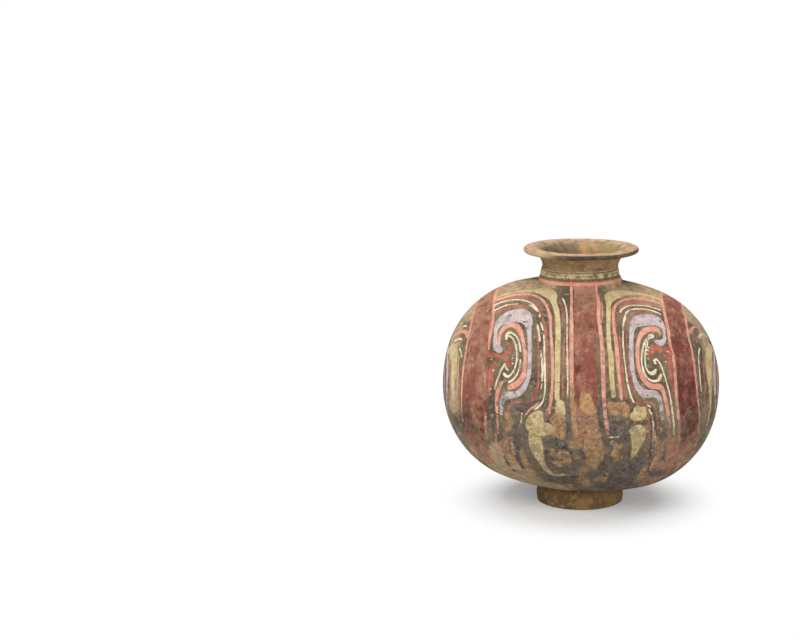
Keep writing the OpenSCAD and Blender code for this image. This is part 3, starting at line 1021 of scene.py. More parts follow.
def new_finish(name: str, roughness: float) -> tuple[bpy.types.Material, Wiring, bpy.types.Node]:
    """Starts a matt ceramic material.

    Args:
        name: Name of the material.
        roughness: Roughness of the surface.

    Returns:
        The material, its wiring and its shader.
    """
    material = bpy.data.materials.new(name)
    material.use_nodes = True
    shader = material.node_tree.nodes["Principled BSDF"]
    shader.inputs["Roughness"].default_value = roughness
    shader.inputs["Specular IOR Level"].default_value = 0.25
    return material, Wiring(material.node_tree), shader


def add_relief(wiring: Wiring, shader: bpy.types.Node, height: bpy.types.NodeSocket, depth: float) -> None:
    """Gives a material its fine relief.

    Args:
        wiring: Wiring of the material.
        shader: Its shader.
        height: Height from 0 to 1.
        depth: Height of 1 in millimetres.
    """
    bump = wiring.add("Bump")
    bump.inputs["Strength"].default_value = 1.0
    bump.inputs["Distance"].default_value = depth * METRE
    wiring.feed(bump.inputs["Height"], height)
    wiring.feed(shader.inputs["Normal"], bump.outputs[0])


@dataclass(frozen=True)
class Pigment:
    """Look of one coat: its tones, the softness and raggedness of its edge, and how much of it is lost.

    A worn coat is a stain or a bared patch with a crumbled edge, not paint.
    """

    light: str
    dark: str
    soft: float = 0.35
    ragged: float = 1.0
    flakes: float = 0.85
    specks: float = 0.7
    worn: bool = False


PIGMENTS = {
    Coat.BUFF: Pigment("bda27f", "8a7458", soft=5.0, ragged=20.0, flakes=0.0, specks=0.3, worn=True),
    Coat.RUST: Pigment("a87c63", "835845", soft=3.0, ragged=20.0, flakes=0.0, specks=0.4, worn=True),
    Coat.CHAR: Pigment("6b625a", "3a342e", soft=0.4, ragged=30.0, flakes=0.0, specks=0.0, worn=True),
    Coat.WASH: Pigment("a5735e", "805242", soft=0.9, ragged=1.8),
    Coat.YELLOW: Pigment("cfbc8d", "b09a6a", flakes=0.6, specks=0.55),
    Coat.LAVENDER: Pigment("c9b9b8", "9d9193", flakes=1.0, specks=1.0),
    Coat.PINK: Pigment("dfa28d", "c67c68"),
    Coat.CARMINE: Pigment("b07060", "8a4b40", ragged=1.4),
    Coat.VERMILION: Pigment("b56a5b", "8a4638", soft=0.6, ragged=3.0, flakes=0.9, specks=0.8),
    Coat.WHITE: Pigment("efe1c6", "cfba96", soft=0.3, ragged=0.9, flakes=0.8, specks=0.6),
    Coat.OCHRE: Pigment("be9469", "8f6b47", soft=0.25, ragged=13.0, flakes=0.7, specks=0.7, worn=True),
}


@dataclass(frozen=True)
class Scrap:
    """Look of one kind of scrap on the ruined belly.

    It has a colour, a size, the level of noise at which it starts and the share that it covers there.
    """

    colour: str
    size: float
    start: float
    share: float


@dataclass(frozen=True)
class Ring:
    """A level ring of paint or of painted light and shade: its pigment, its middle height and half its width.
    """

    pigment: Pigment
    height: float
    half_width: float


CORDON_RINGS = (
    Ring(Pigment("97805a", "6f5a3f", soft=1.0, ragged=1.5, flakes=0.0, specks=0.3), 242.6, 5.4),
    Ring(Pigment("c4b98a", "8f8054", soft=0.5, ragged=5.0, flakes=1.0, specks=1.0), 243.4, 1.1),
    Ring(Pigment("e0c4a8", "a98a6c", soft=0.4, ragged=8.0, flakes=1.0, specks=1.0), 240.7, 0.8),
    # A painted highlight and, just below it, painted shade stand for the groove at the top of the cordon
    Ring(Pigment("d3b795", "b2936d", soft=0.3, ragged=1.2, flakes=0.8, specks=0.5), 246.0, 0.4),
    Ring(Pigment("5f4f3c", "483b2e", soft=0.3, ragged=2.4, flakes=1.0, specks=0.9), 245.1, 0.2),
    # Painted shade in the crease at the foot of the cordon's face
    Ring(Pigment("6d6148", "554a37", soft=0.6, ragged=3.0, flakes=0.8, specks=0.6), 237.9, 1.0),
    Ring(Pigment("e19a85", "cb7a66", soft=0.35, ragged=1.0, flakes=0.3, specks=0.3), 234.5, 1.5),
)


@dataclass(frozen=True)
class PaintedClay:
    """Grey-brown earthenware with the cold-painted bands and scrolls, and with level rings on the cordon.

    The paint is more worn from one girth, wear_start, to another, wear_full.
    """

    name: str = "painted_jar"
    rings: tuple[Ring, ...] = ()
    roughness: float = 0.9
    relief_depth: float = 0.35
    wear_start: float = 150.0
    wear_full: float = 215.0
    age_above: float = 0.4
    age_added: float = 0.6
    ground_light: str = "97846a"
    ground_middle: str = "766852"
    ground_dark: str = "504637"
    faded_red: str = "ab8267"
    band_red: str = "8b5043"
    deep_red: str = "5a2e27"
    crack: str = "352e27"
    scraps: tuple[Scrap, ...] = (
        Scrap("5a524a", 15.0, 0.52, 0.75),
        Scrap("a9865c", 10.0, 0.55, 0.85),
        Scrap("7d5744", 8.0, 0.59, 0.7),
        Scrap("3f3831", 6.0, 0.575, 0.8),
        Scrap("cbb28a", 3.0, 0.62, 0.8),
    )

    def make(self, effects: Effects) -> bpy.types.Material:
        """Wires the material.

        Args:
            effects: The shared node groups.

        Returns:
            The material.
        """
        material, wiring, shader = new_finish(self.name, self.roughness)
        place = wiring.place()
        earth = wiring.group(
            effects.earth, Place=place, Light=self.ground_light, Middle=self.ground_middle,
            Dark=self.ground_dark,
        )
        low = wiring.ease(wiring.attribute("girth"), self.wear_start, self.wear_full)
        age = wiring.math("ADD", self.age_above, wiring.math("MULTIPLY", low, self.age_added))
        loss = wiring.group(effects.loss, Place=place, Age=age)
        tone = wiring.ease(wiring.grain(place, size=8, detail=5, rough=0.68), 0.32, 0.64)
        waver = wiring.math("SUBTRACT", wiring.grain(place, size=6, detail=2, rough=0.5), 0.5)
        ragged = wiring.math("SUBTRACT", wiring.grain(place, size=1.4, detail=3, rough=0.7), 0.5)
        tremor = wiring.math("ADD", waver, wiring.math("MULTIPLY", ragged, 1.5))
        crumble = wiring.math("SUBTRACT", wiring.grain(place, size=9, detail=8, rough=0.78), 0.5)
        scuff = wiring.ease(wiring.grain(place, size=6, detail=8, rough=0.76), 0.36, 0.64)

        colour = earth["Colour"]
        relief = wiring.math("MULTIPLY", earth["Grit"], 0.5)
        for coat, pigment in PIGMENTS.items():
            if coat is Coat.RUST:
                colour, relief = self._band(wiring, effects, colour, relief, tone, loss, tremor)
            if coat is Coat.CHAR:
                colour = self._ruin(wiring, colour, place)
            edge = crumble if pigment.worn else tremor
            brushed = wiring.group(
                effects.coat, Under=colour, Light=pigment.light, Dark=pigment.dark,
                Tone=scuff if pigment.worn else tone, Depth=wiring.attribute(coat.value),
                Tremor=wiring.math("MULTIPLY", edge, pigment.ragged),
                Soft=pigment.soft, Loss=self._lost(wiring, loss, pigment),
            )
            colour = brushed["Colour"]
            if not pigment.worn:
                relief = wiring.math("ADD", relief, wiring.math("MULTIPLY", brushed["Cover"], 0.25))
        if self.rings:
            height = wiring.group(effects.turned, Place=place)["Height"]
            colour = self._ringed(wiring, effects, colour, height, tone, loss, tremor)
        weather = wiring.group(effects.weather, Place=place, Colour=colour)
        wiring.feed(shader.inputs["Base Color"], weather["Colour"])
        relief = wiring.math("SUBTRACT", relief, wiring.math("MULTIPLY", weather["Pits"], 0.5))
        add_relief(wiring, shader, relief, self.relief_depth)
        return material

    def _ruin(self, wiring: Wiring, under: Feed, place: Feed) -> Feed:
        """Breaks the worn belly up into scorched, bared and dusty scraps, with dark cracks.

        Args:
            wiring: Wiring of the material.
            under: Colour below.
            place: Place on the piece.

        Returns:
            The colour with the scraps on.
        """
        crumble = wiring.math("SUBTRACT", wiring.grain(place, size=9, detail=8, rough=0.78), 0.5)
        edge = wiring.math("MULTIPLY", crumble, 40.0)
        ruined = wiring.ease(wiring.math("ADD", wiring.attribute(Coat.SCRAPS.value), edge), -5.0, 2.0)
        colour = under
        for scrap in self.scraps:
            scraps = wiring.grain(place, scrap.size, detail=9, rough=0.78)
            seen = wiring.ease(scraps, scrap.start, scrap.start + 0.03)
            share = wiring.math("MULTIPLY", wiring.math("MULTIPLY", seen, scrap.share), ruined)
            colour = wiring.mix(share, colour, scrap.colour)
        level = wiring.math("SUBTRACT", wiring.grain(place, size=13, detail=7, rough=0.7), 0.5)
        level = wiring.math("ABSOLUTE", level)
        crack = wiring.math("MULTIPLY", wiring.ease(level, 0.010, 0.003), ruined)
        return wiring.mix(crack, colour, self.crack)

    @staticmethod
    def _lost(wiring: Wiring, loss: dict, pigment: Pigment) -> bpy.types.NodeSocket:
        """Share of a pigment that is gone.

        Args:
            wiring: Wiring of the material.
            loss: Masks of lost paint.
            pigment: The pigment.

        Returns:
            The share from 0 to 1.
        """
        flakes = wiring.math("MULTIPLY", loss["Flakes"], pigment.flakes)
        return wiring.math("MAXIMUM", flakes, wiring.math("MULTIPLY", loss["Specks"], pigment.specks))

    def _ringed(self, wiring: Wiring, effects: Effects, under: Feed, height: Feed, tone: Feed, loss: dict,
                tremor: Feed) -> Feed:
        """Lays level rings over the scrolls.

        Args:
            wiring: Wiring of the material.
            effects: The shared node groups.
            under: Colour below.
            height: Height on the piece in millimetres.
            tone: Mottling from 0 to 1.
            loss: Masks of lost paint.
            tremor: Unevenness of edges.

        Returns:
            The colour with the rings on.
        """
        colour = under
        for ring in self.rings:
            off = wiring.math("ABSOLUTE", wiring.math("SUBTRACT", height, ring.height))
            colour = wiring.group(
                effects.coat, Under=colour, Light=ring.pigment.light, Dark=ring.pigment.dark, Tone=tone,
                Depth=wiring.math("SUBTRACT", ring.half_width, off), Soft=ring.pigment.soft,
                Tremor=wiring.math("MULTIPLY", tremor, ring.pigment.ragged),
                Loss=self._lost(wiring, loss, ring.pigment),
            )["Colour"]
        return colour

    def _band(self, wiring: Wiring, effects: Effects, under: Feed, relief: Feed, tone: Feed, loss: dict,
              tremor: Feed) -> tuple[bpy.types.NodeSocket, bpy.types.NodeSocket]:
        """Lays the red bands, faded or deep, over the clay.

        Args:
            wiring: Wiring of the material.
            effects: The shared node groups.
            under: Colour below.
            relief: Relief below.
            tone: Mottling from 0 to 1.
            loss: Masks of lost paint.
            tremor: Unevenness of edges.

        Returns:
            The colour and the relief with the bands on.
        """
        place = wiring.place()
        streaks = wiring.grain(wiring.stretched(place, (1.0, 0.3, 0.3)), size=3.5, detail=4, rough=0.6)
        rubbed = wiring.math("MULTIPLY", wiring.ease(streaks, 0.46, 0.66), 0.35)
        faded = wiring.ease(wiring.grain(place, size=13, detail=9, rough=0.76), 0.49, 0.58)
        faded = wiring.math("MULTIPLY", faded, 0.6)
        deep = wiring.ease(wiring.grain(place, size=17, detail=7, rough=0.7), 0.53, 0.62)
        deep = wiring.math("MULTIPLY", deep, 0.6)
        red = wiring.math("SUBTRACT", wiring.attribute("band_red"), wiring.math("ADD", rubbed, faded))
        red = wiring.math("ADD", red, deep)
        fresh = wiring.mix(wiring.ease(red, 0.0, 1.0), self.faded_red, self.band_red)
        fresh = wiring.mix(wiring.ease(red, 0.9, 1.6), fresh, self.deep_red)
        shade = wiring.mix(0.35, fresh, self.deep_red)
        brushed = wiring.group(
            effects.coat, Under=under, Light=fresh, Dark=shade, Tone=tone, Depth=wiring.attribute("band"),
            Tremor=tremor, Soft=0.5, Loss=wiring.math("MULTIPLY", loss["Flakes"], 0.7),
        )
        return brushed["Colour"], wiring.math("ADD", relief, wiring.math("MULTIPLY", brushed["Cover"], 0.2))


@dataclass(frozen=True)
class NeckClay:
    """Buff neck clay: pink lip lines, a rim in painted shade and soot, and an olive inside in painted shade.

    A span gives the two places, to the right or to the back, between which a tone comes in.
    """

    light: str = "b89e78"
    middle: str = "9f825c"
    dark: str = "7a5f41"
    lip_light: str = "b59b79"
    lip_dark: str = "8a7150"
    line_light: str = "d9ab94"
    line_dark: str = "b57d68"
    # Near-black of the rim's painted shade, where soot lies on it at the front
    rim_shade_soot: str = "403b35"
    rim_brown: str = "5f4c3b"
    # Painted shade inside the mouth: its dark left and its lighter right
    inside_shade: str = "5f5641"
    inside_lit: str = "947f5a"
    ochre: str = "b98f62"
    line_radii: tuple[float, ...] = (47.6, 50.4, 53.4, 56.4)
    line_half_width: float = 0.7
    line_wear_span: tuple[float, float] = (-20.0, 50.0)
    # Span over which the painted shade inside the mouth lightens to the right
    inside_light_span: tuple[float, float] = (-22.0, 30.0)
    ochre_right: float = 10.0
    ochre_span: tuple[float, float] = (14.0, 6.0)
    ochre_back_span: tuple[float, float] = (20.0, 34.0)
    # Spans of the rim's painted shade, of its near-black soot at the front, and of the plain light clay on
    # its left
    rim_shade_span: tuple[float, float] = (53.75, 56.25)
    shade_soot_left_span: tuple[float, float] = (-24.0, -8.0)
    shade_soot_right_span: tuple[float, float] = (48.0, 20.0)
    shade_soot_back_span: tuple[float, float] = (25.0, -10.0)
    unshaded_rim_span: tuple[float, float] = (-18.0, -40.0)
    roughness: float = 0.88
    relief_depth: float = 0.4

    def make(self, effects: Effects) -> bpy.types.Material:
        """Wires the material.

        Args:
            effects: The shared node groups.

        Returns:
            The material.
        """
        material, wiring, shader = new_finish("neck_paint", self.roughness)
        place = wiring.place()
        earth = wiring.group(effects.earth, Place=place, Light=self.light, Middle=self.middle, Dark=self.dark)
        loss = wiring.group(effects.loss, Place=place, Age=0.35)
        turned = wiring.group(effects.turned, Place=place)
        tone = wiring.ease(wiring.grain(place, size=7, detail=5, rough=0.65), 0.34, 0.62)
        tremor = wiring.math("SUBTRACT", wiring.grain(place, size=3, detail=3, rough=0.6), 0.5)
        tremor = wiring.math("MULTIPLY", tremor, 2.0)
        across = wiring.add("SeparateXYZ")
        wiring.feed(across.inputs[0], place)
        right = wiring.math("DIVIDE", across.outputs[0], METRE)
        back = wiring.math("DIVIDE", across.outputs[1], METRE)

        streak = wiring.grain(wiring.stretched(place, (1.0, 1.0, 5.0)), size=16, detail=4, rough=0.6)
        stained = wiring.math("MULTIPLY", wiring.ease(streak, 0.5, 0.72), 0.6)
        colour = wiring.mix(stained, earth["Colour"], self.rim_brown)
        # Painted shade inside the mouth, dark on the left and lighter to the right where the light falls
        inside = wiring.mix(wiring.ease(right, *self.inside_light_span), self.inside_shade, self.inside_lit)
        inside = wiring.mix(wiring.math("MULTIPLY", tone, 0.4), inside, self.middle)
        spot = wiring.math("ABSOLUTE", wiring.math("SUBTRACT", right, self.ochre_right))
        at_back = wiring.ease(back, *self.ochre_back_span)
        spot = wiring.math("MULTIPLY", wiring.ease(spot, *self.ochre_span), at_back)
        inside = wiring.mix(wiring.math("MULTIPLY", spot, tone), inside, self.ochre)
        colour = wiring.mix(wiring.ease(wiring.attribute("inside"), 0.1, 0.35), colour, inside)

        on_lip = wiring.ease(wiring.attribute("upward"), 0.75, 0.95)
        lip = wiring.mix(tone, self.lip_dark, self.lip_light)
        worn_line = wiring.math("MULTIPLY", wiring.ease(right, *self.line_wear_span), 0.55)
        for radius in self.line_radii:
            off = wiring.math("ABSOLUTE", wiring.math("SUBTRACT", turned["Radius"], radius))
            lip = wiring.group(
                effects.coat, Under=lip, Light=self.line_light, Dark=self.line_dark, Tone=tone, Soft=0.4,
                Depth=wiring.math("SUBTRACT", self.line_half_width, off),
                Tremor=wiring.math("MULTIPLY", tremor, 0.7),
                Loss=wiring.math("MAXIMUM", loss["Flakes"], worn_line),
            )["Colour"]
        colour = wiring.mix(on_lip, colour, lip)

        # Painted shade on the lip's outer edge and underside, on faces turned away from the top: brown,
        # near-black with soot at the front, light clay on the left
        edge = wiring.math("ADD", turned["Radius"], wiring.math("MULTIPLY", tremor, 1.2))
        outer = wiring.ease(edge, *self.rim_shade_span)
        rim_shade = wiring.math("MULTIPLY", outer, wiring.ease(wiring.attribute("upward"), 0.85, 0.6))
        shade_soot_share = wiring.ease(right, *self.shade_soot_left_span)
        shade_soot_share = wiring.math("MULTIPLY", shade_soot_share, wiring.ease(back, *self.shade_soot_back_span))
        shade_soot_share = wiring.math("MULTIPLY", shade_soot_share, wiring.ease(right, *self.shade_soot_right_span))
        # worn holds the colour of this painted shade and soot on the rim
        worn = wiring.mix(shade_soot_share, self.rim_brown, self.rim_shade_soot)
        worn = wiring.mix(wiring.ease(right, *self.unshaded_rim_span), worn, self.light)
        patchy = wiring.math("ADD", 0.7, wiring.math("MULTIPLY", tone, 0.3))
        colour = wiring.mix(wiring.math("MULTIPLY", rim_shade, patchy), colour, worn)
        wiring.feed(shader.inputs["Base Color"], colour)
        relief = wiring.math("ADD", earth["Grit"], wiring.math("MULTIPLY", streak, 0.6))
        add_relief(wiring, shader, relief, self.relief_depth)
        return material


@dataclass(frozen=True)
class TurnedClay:
    """Bare buff clay, earth-stained, of the foot and of the coil inside."""

    name: str
    light: str
    middle: str
    dark: str
    stain: str
    roughness: float = 0.88
    relief_depth: float = 0.35

    def make(self, effects: Effects) -> bpy.types.Material:
        """Wires the material.

        Args:
            effects: The shared node groups.

        Returns:
            The material.
        """
        material, wiring, shader = new_finish(self.name, self.roughness)
        place = wiring.place()
        earth = wiring.group(effects.earth, Place=place, Light=self.light, Middle=self.middle, Dark=self.dark)
        streak = wiring.grain(wiring.stretched(place, (1.0, 1.0, 4.0)), size=14, detail=4, rough=0.6)
        colour = wiring.mix(wiring.ease(streak, 0.52, 0.66), earth["Colour"], self.stain)
        wiring.feed(shader.inputs["Base Color"], colour)
        add_relief(wiring, shader, earth["Grit"], self.relief_depth)
        return material


# Pieces


class Side(Enum):
    """The two thrown halves of the body."""

    LEFT = -1
    RIGHT = 1


@dataclass
class BodyHalf:
    """One thrown half of the body, from the seam to the tip, open under the neck.

    Its wall swells and ripples by the unevenness, which fades in over seat_fade outside seat_r.
    """

    form: CocoonForm
    side: Side
    bore_r: float = 32.0
    round_steps: int = 520
    flank_steps: int = 54
    shoulder_steps: int = 100
    inner_steps: int = 9
    tip_steps: int = 2
    hole_steps: int = 144
    unevenness: float = 0.5
    swell_size: float = 60.0
    ripple_size: float = 22.0
    ripple_offset: tuple[float, float, float] = (7.0, 3.0, 1.0)
    seat_r: float = 52.0
    seat_fade: float = 25.0

    def build(self) -> bpy.types.Object:
        """Turns the shell, gives it its hand-made unevenness and cuts the hole for the neck.

        Returns:
            The half, in place.
        """
        shape = self._section().turn((1.0, 0.0, 0.0), self.round_steps)
        if self.side is Side.LEFT:
            bmesh.ops.scale(shape, verts=shape.verts, vec=(-1.0, 1.0, 1.0))
            bmesh.ops.recalc_face_normals(shape, faces=shape.faces)
        self._throw_unevenly(shape)
        bmesh.ops.transform(shape, matrix=self.form.axis_to_jar(), verts=shape.verts)
        piece = finish_piece(f"{self.side.name.lower()}_body", shape)
        cut_away(piece, self._neck_hole())
        smooth_but_corners(piece)
        return piece

    def _section(self) -> Section:
        """Draws the wall from the seam over the tip and back inside."""
        form = self.form
        quarter = math.pi / 2 - form.touch_angle
        section = Section(0.0, form.belly_r)
        section.arc(0.0, form.flank_centre, form.touch_angle, self.flank_steps)
        section.arc(form.shoulder_centre, form.tip_r, quarter, self.shoulder_steps)
        section.line(form.half_length, 0.0, self.tip_steps)
        section.jump(form.half_length - form.wall, 0.0)
        section.line(form.half_length - form.wall, form.tip_r)
        section.arc(form.shoulder_centre, form.tip_r, -quarter, self.inner_steps)
        section.arc(0.0, form.flank_centre, -form.touch_angle, self.inner_steps)
        return section.close()

    def _throw_unevenly(self, shape: bmesh.types.BMesh) -> None:
        """Draws the surface in a little, here and there, but not where the neck and the foot are seated."""
        offset = Vector(self.ripple_offset)
        for vert in shape.verts:
            swell = noise.noise(vert.co / self.swell_size)
            swell += 0.5 * noise.noise(vert.co / self.ripple_size + offset)
            clear = min(max((vert.co.xy.length - self.seat_r) / self.seat_fade, 0.0), 1.0)
            dent = clear * self.unevenness * min(max(0.45 + 0.55 * swell, 0.0), 1.0)
            vert.co *= 1.0 - dent / vert.co.length

    def _neck_hole(self) -> bpy.types.Object:
        """Makes the upright cutter of the hole under the neck."""
        hole = bmesh.new()
        tall = self.form.belly_r * 1.5
        bmesh.ops.create_cone(
            hole, cap_ends=True, segments=self.hole_steps, radius1=self.bore_r, radius2=self.bore_r,
            depth=tall, matrix=Matrix.Translation((0.0, 0.0, self.form.belly_z + tall / 2)),
        )
        return finish_piece("neck_hole", hole)


SEAT_FILM = 0.05
SEAT_SHOULDER_STEPS = 40
SEAT_FLANK_STEPS = 60
SEAT_ROUND_STEPS = 240


def seat_cutter(form: CocoonForm) -> bpy.types.Object:
    """Makes a solid of the whole body, grown by a film of slip, on which other pieces are seated.

    Args:
        form: The body.

    Returns:
        The solid.
    """
    quarter = math.pi / 2 - form.touch_angle
    section = Section(-form.half_length - SEAT_FILM, 0.0)
    section.line(-form.half_length - SEAT_FILM, form.tip_r)
    section.arc(-form.shoulder_centre, form.tip_r, quarter, SEAT_SHOULDER_STEPS)
    section.arc(0.0, form.flank_centre, 2 * form.touch_angle, SEAT_FLANK_STEPS)
    section.arc(form.shoulder_centre, form.tip_r, quarter, SEAT_SHOULDER_STEPS)
    section.line(form.half_length + SEAT_FILM, 0.0)
    shape = section.turn((1.0, 0.0, 0.0), SEAT_ROUND_STEPS)
    bmesh.ops.transform(shape, matrix=form.axis_to_jar(), verts=shape.verts)
    return finish_piece("seat", shape)


def seat_on_body(piece: bpy.types.Object, form: CocoonForm) -> None:
    """Hollows a piece to fit the body and shades it.

    Args:
        piece: The neck, the cordon or the foot.
        form: The body.
    """
    cut_away(piece, seat_cutter(form))
    smooth_but_corners(piece)


def dent_outside(vert: bmesh.types.BMVert, depth: float, size: float, radius: float) -> None:
    """Presses a vertex of a turned piece in a little, as fingers do.

    Args:
        vert: The vertex.
        depth: Greatest depth of a dent.
        size: Size of the dents.
        radius: Outer radius of the piece.
    """
    dent = depth * (0.5 + 0.5 * noise.noise(vert.co / size))
    vert.co.xy *= 1.0 - dent / radius


@dataclass
class Neck:
    """Thrown neck with a hollow flare and a flat lip.

    The lip sags by lean to the right and by nod to the front, wavers by wobble and stands shift to the right.
    """

    form: CocoonForm
    height: float = 33.5
    neck_r: float = 38.75
    wall: float = 6.75
    overhang: float = 20.0
    lip_edge: float = 5.8
    lip_fall: float = 0.6
    flare: float = 15.0
    lean: float = 1.6
    nod: float = 2.4
    shift: float = 1.4
    wobble: float = 0.9
    wobble_size: float = 34.0
    wall_steps: int = 40
    flare_steps: int = 30
    under_steps: int = 4
    lip_steps: int = 14
    bore_steps: int = 12
    steps: int = 360

    @property
    def crest_z(self) -> float:
        """Height of the crest of the lip."""
        return self.form.crown_z + self.height

    @property
    def lip_under(self) -> float:
        """Height of the lower face of the lip."""
        return self.crest_z - self.lip_fall - self.lip_edge

    def build(self) -> bpy.types.Object:
        """Turns the neck, seats it and lets its lip sag to the right and to the front.

        Returns:
            The neck, in place.
        """
        lip_mid = self.neck_r + self.overhang - self.lip_edge / 2
        flare_z = self.lip_under - self.flare
        flare_x = self.neck_r + self.flare
        bore_r = self.neck_r - self.wall
        inner_flare = self.flare + self.wall
        rise = self.crest_z - self.lip_fall / 2 - flare_z
        mouth = math.asin(rise / inner_flare)
        hidden_z = self.form.belly_z + self.form.belly_r / 2
        section = Section(self.neck_r, hidden_z)
        section.line(self.neck_r, flare_z, self.wall_steps)
        section.arc(flare_x, flare_z, math.pi / 2, self.flare_steps)
        section.line(lip_mid, self.lip_under, self.under_steps)
        section.arc(lip_mid, self.lip_under + self.lip_edge / 2, -math.pi, self.lip_steps)
        section.line(flare_x - inner_flare * math.cos(mouth), flare_z + rise, self.lip_steps)
        section.arc(flare_x, flare_z, -mouth, self.flare_steps)
        section.line(bore_r, hidden_z, self.bore_steps)
        shape = section.close().turn((0.0, 0.0, 1.0), self.steps)
        lip_r = self.neck_r + self.overhang
        for vert in shape.verts:
            lifted = min(max((vert.co.z - self.form.crown_z) / self.height, 0.0), 1.0)
            level = Vector((vert.co.x, vert.co.y, 0.0))
            sag = self.wobble * (0.5 + 0.5 * noise.noise(level / self.wobble_size))
            sag += self.lean * (lip_r + vert.co.x) / (2 * lip_r)
            sag += self.nod * (lip_r - vert.co.y) / (2 * lip_r)
            vert.co.x += lifted * self.shift
            vert.co.z -= lifted * sag
        piece = finish_piece("neck_and_lip", shape)
        seat_on_body(piece, self.form)
        self._mark_faces(piece)
        return piece

    @staticmethod
    def _mark_faces(piece: bpy.types.Object) -> None:
        """Stores how far each place faces inwards and upwards, for the neck's finish."""
        normals = np.empty(len(piece.data.vertices) * 3)
        piece.data.vertices.foreach_get("normal", normals)
        normals = normals.reshape(-1, 3)
        outwards = points_of(piece)[:, :2]
        outwards = outwards / np.linalg.norm(outwards, axis=1)[:, None]
        set_attribute(piece, "inside", -(normals[:, :2] * outwards).sum(axis=1))
        set_attribute(piece, "upward", normals[:, 2])


@dataclass
class Cordon:
    """Raised strip of clay round the foot of the neck, smeared down on the shoulder."""

    form: CocoonForm
    neck_r: float = 38.75
    proud: float = 1.9
    rise: float = 10.0
    taper: float = 6.0
    top_edge: float = 0.5
    waist: float = 2.0
    spread: float = 7.5
    fall: float = 14.0
    dent_depth: float = 0.4
    dent_size: float = 9.0
    smear_steps: int = 24
    face_steps: int = 6
    side_steps: int = 8
    steps: int = 360

    def build(self) -> bpy.types.Object:
        """Turns the strip and seats it on the shoulder.

        Returns:
            The cordon, in place.
        """
        outer_r = self.neck_r + self.proud
        top = self.form.crown_z + self.rise
        waist_z = self.form.crown_z + self.waist
        low = waist_z - self.fall
        section = Section(outer_r + self.spread, low)
        section.line(outer_r, waist_z, self.smear_steps)
        section.line(outer_r, top - self.taper, self.face_steps)
        section.line(self.neck_r + self.top_edge, top, self.side_steps)
        section.line(self.neck_r, top)
        section.line(self.neck_r, low, self.side_steps)
        shape = section.close().turn((0.0, 0.0, 1.0), self.steps)
        for vert in shape.verts:
            if vert.co.xy.length > self.neck_r + self.top_edge / 2:
                dent_outside(vert, self.dent_depth, self.dent_size, outer_r)
        piece = finish_piece("neck_band", shape)
        seat_on_body(piece, self.form)
        return piece


@dataclass
class Foot:
    """Low ring foot with a bulging face, dented above its true edge on the ground."""

    form: CocoonForm
    outer_r: float = 45.5
    bulge: float = 20.0
    bulge_z: float = 6.0
    wall: float = 10.0
    true_edge: float = 0.6
    dent_depth: float = 0.6
    dent_size: float = 11.0
    base_steps: int = 6
    bulge_steps: int = 40
    inner_steps: int = 8
    steps: int = 360

    def build(self) -> bpy.types.Object:
        """Turns the ring and seats the belly in it.

        Returns:
            The foot, in place.
        """
        centre = self.outer_r - self.bulge
        inner_r = self.outer_r - self.wall
        low = math.asin(self.bulge_z / self.bulge)
        high = math.acos((inner_r - centre) / self.bulge)
        section = Section(inner_r, 0.0)
        section.line(centre + self.bulge * math.cos(low), 0.0, self.base_steps)
        section.arc(centre, self.bulge_z, -(low + high), self.bulge_steps)
        shape = section.line(inner_r, 0.0, self.inner_steps).turn((0.0, 0.0, 1.0), self.steps)
        for vert in shape.verts:
            if vert.co.z > self.true_edge:
                dent_outside(vert, self.dent_depth, self.dent_size, self.outer_r)
        piece = finish_piece("foot", shape)
        seat_on_body(piece, self.form)
        return piece


# Studio


@dataclass(frozen=True)
class Lamp:
    """A square soft lamp: its place and the length of its side in metres, and its power in watts."""

    name: str
    place: tuple[float, float, float]
    size: float
    watts: float

    def hang(self, target: Vector) -> None:
        """Hangs the lamp so that it faces a place.

        Args:
            target: What it faces.
        """
        data = bpy.data.lights.new(self.name, "AREA")
        data.size = self.size
        data.energy = self.watts
        lamp = bpy.data.objects.new(self.name, data)
        lamp.location = self.place
        lamp.rotation_euler = (target - Vector(self.place)).to_track_quat("-Z", "Y").to_euler()
        bpy.context.scene.collection.objects.link(lamp)


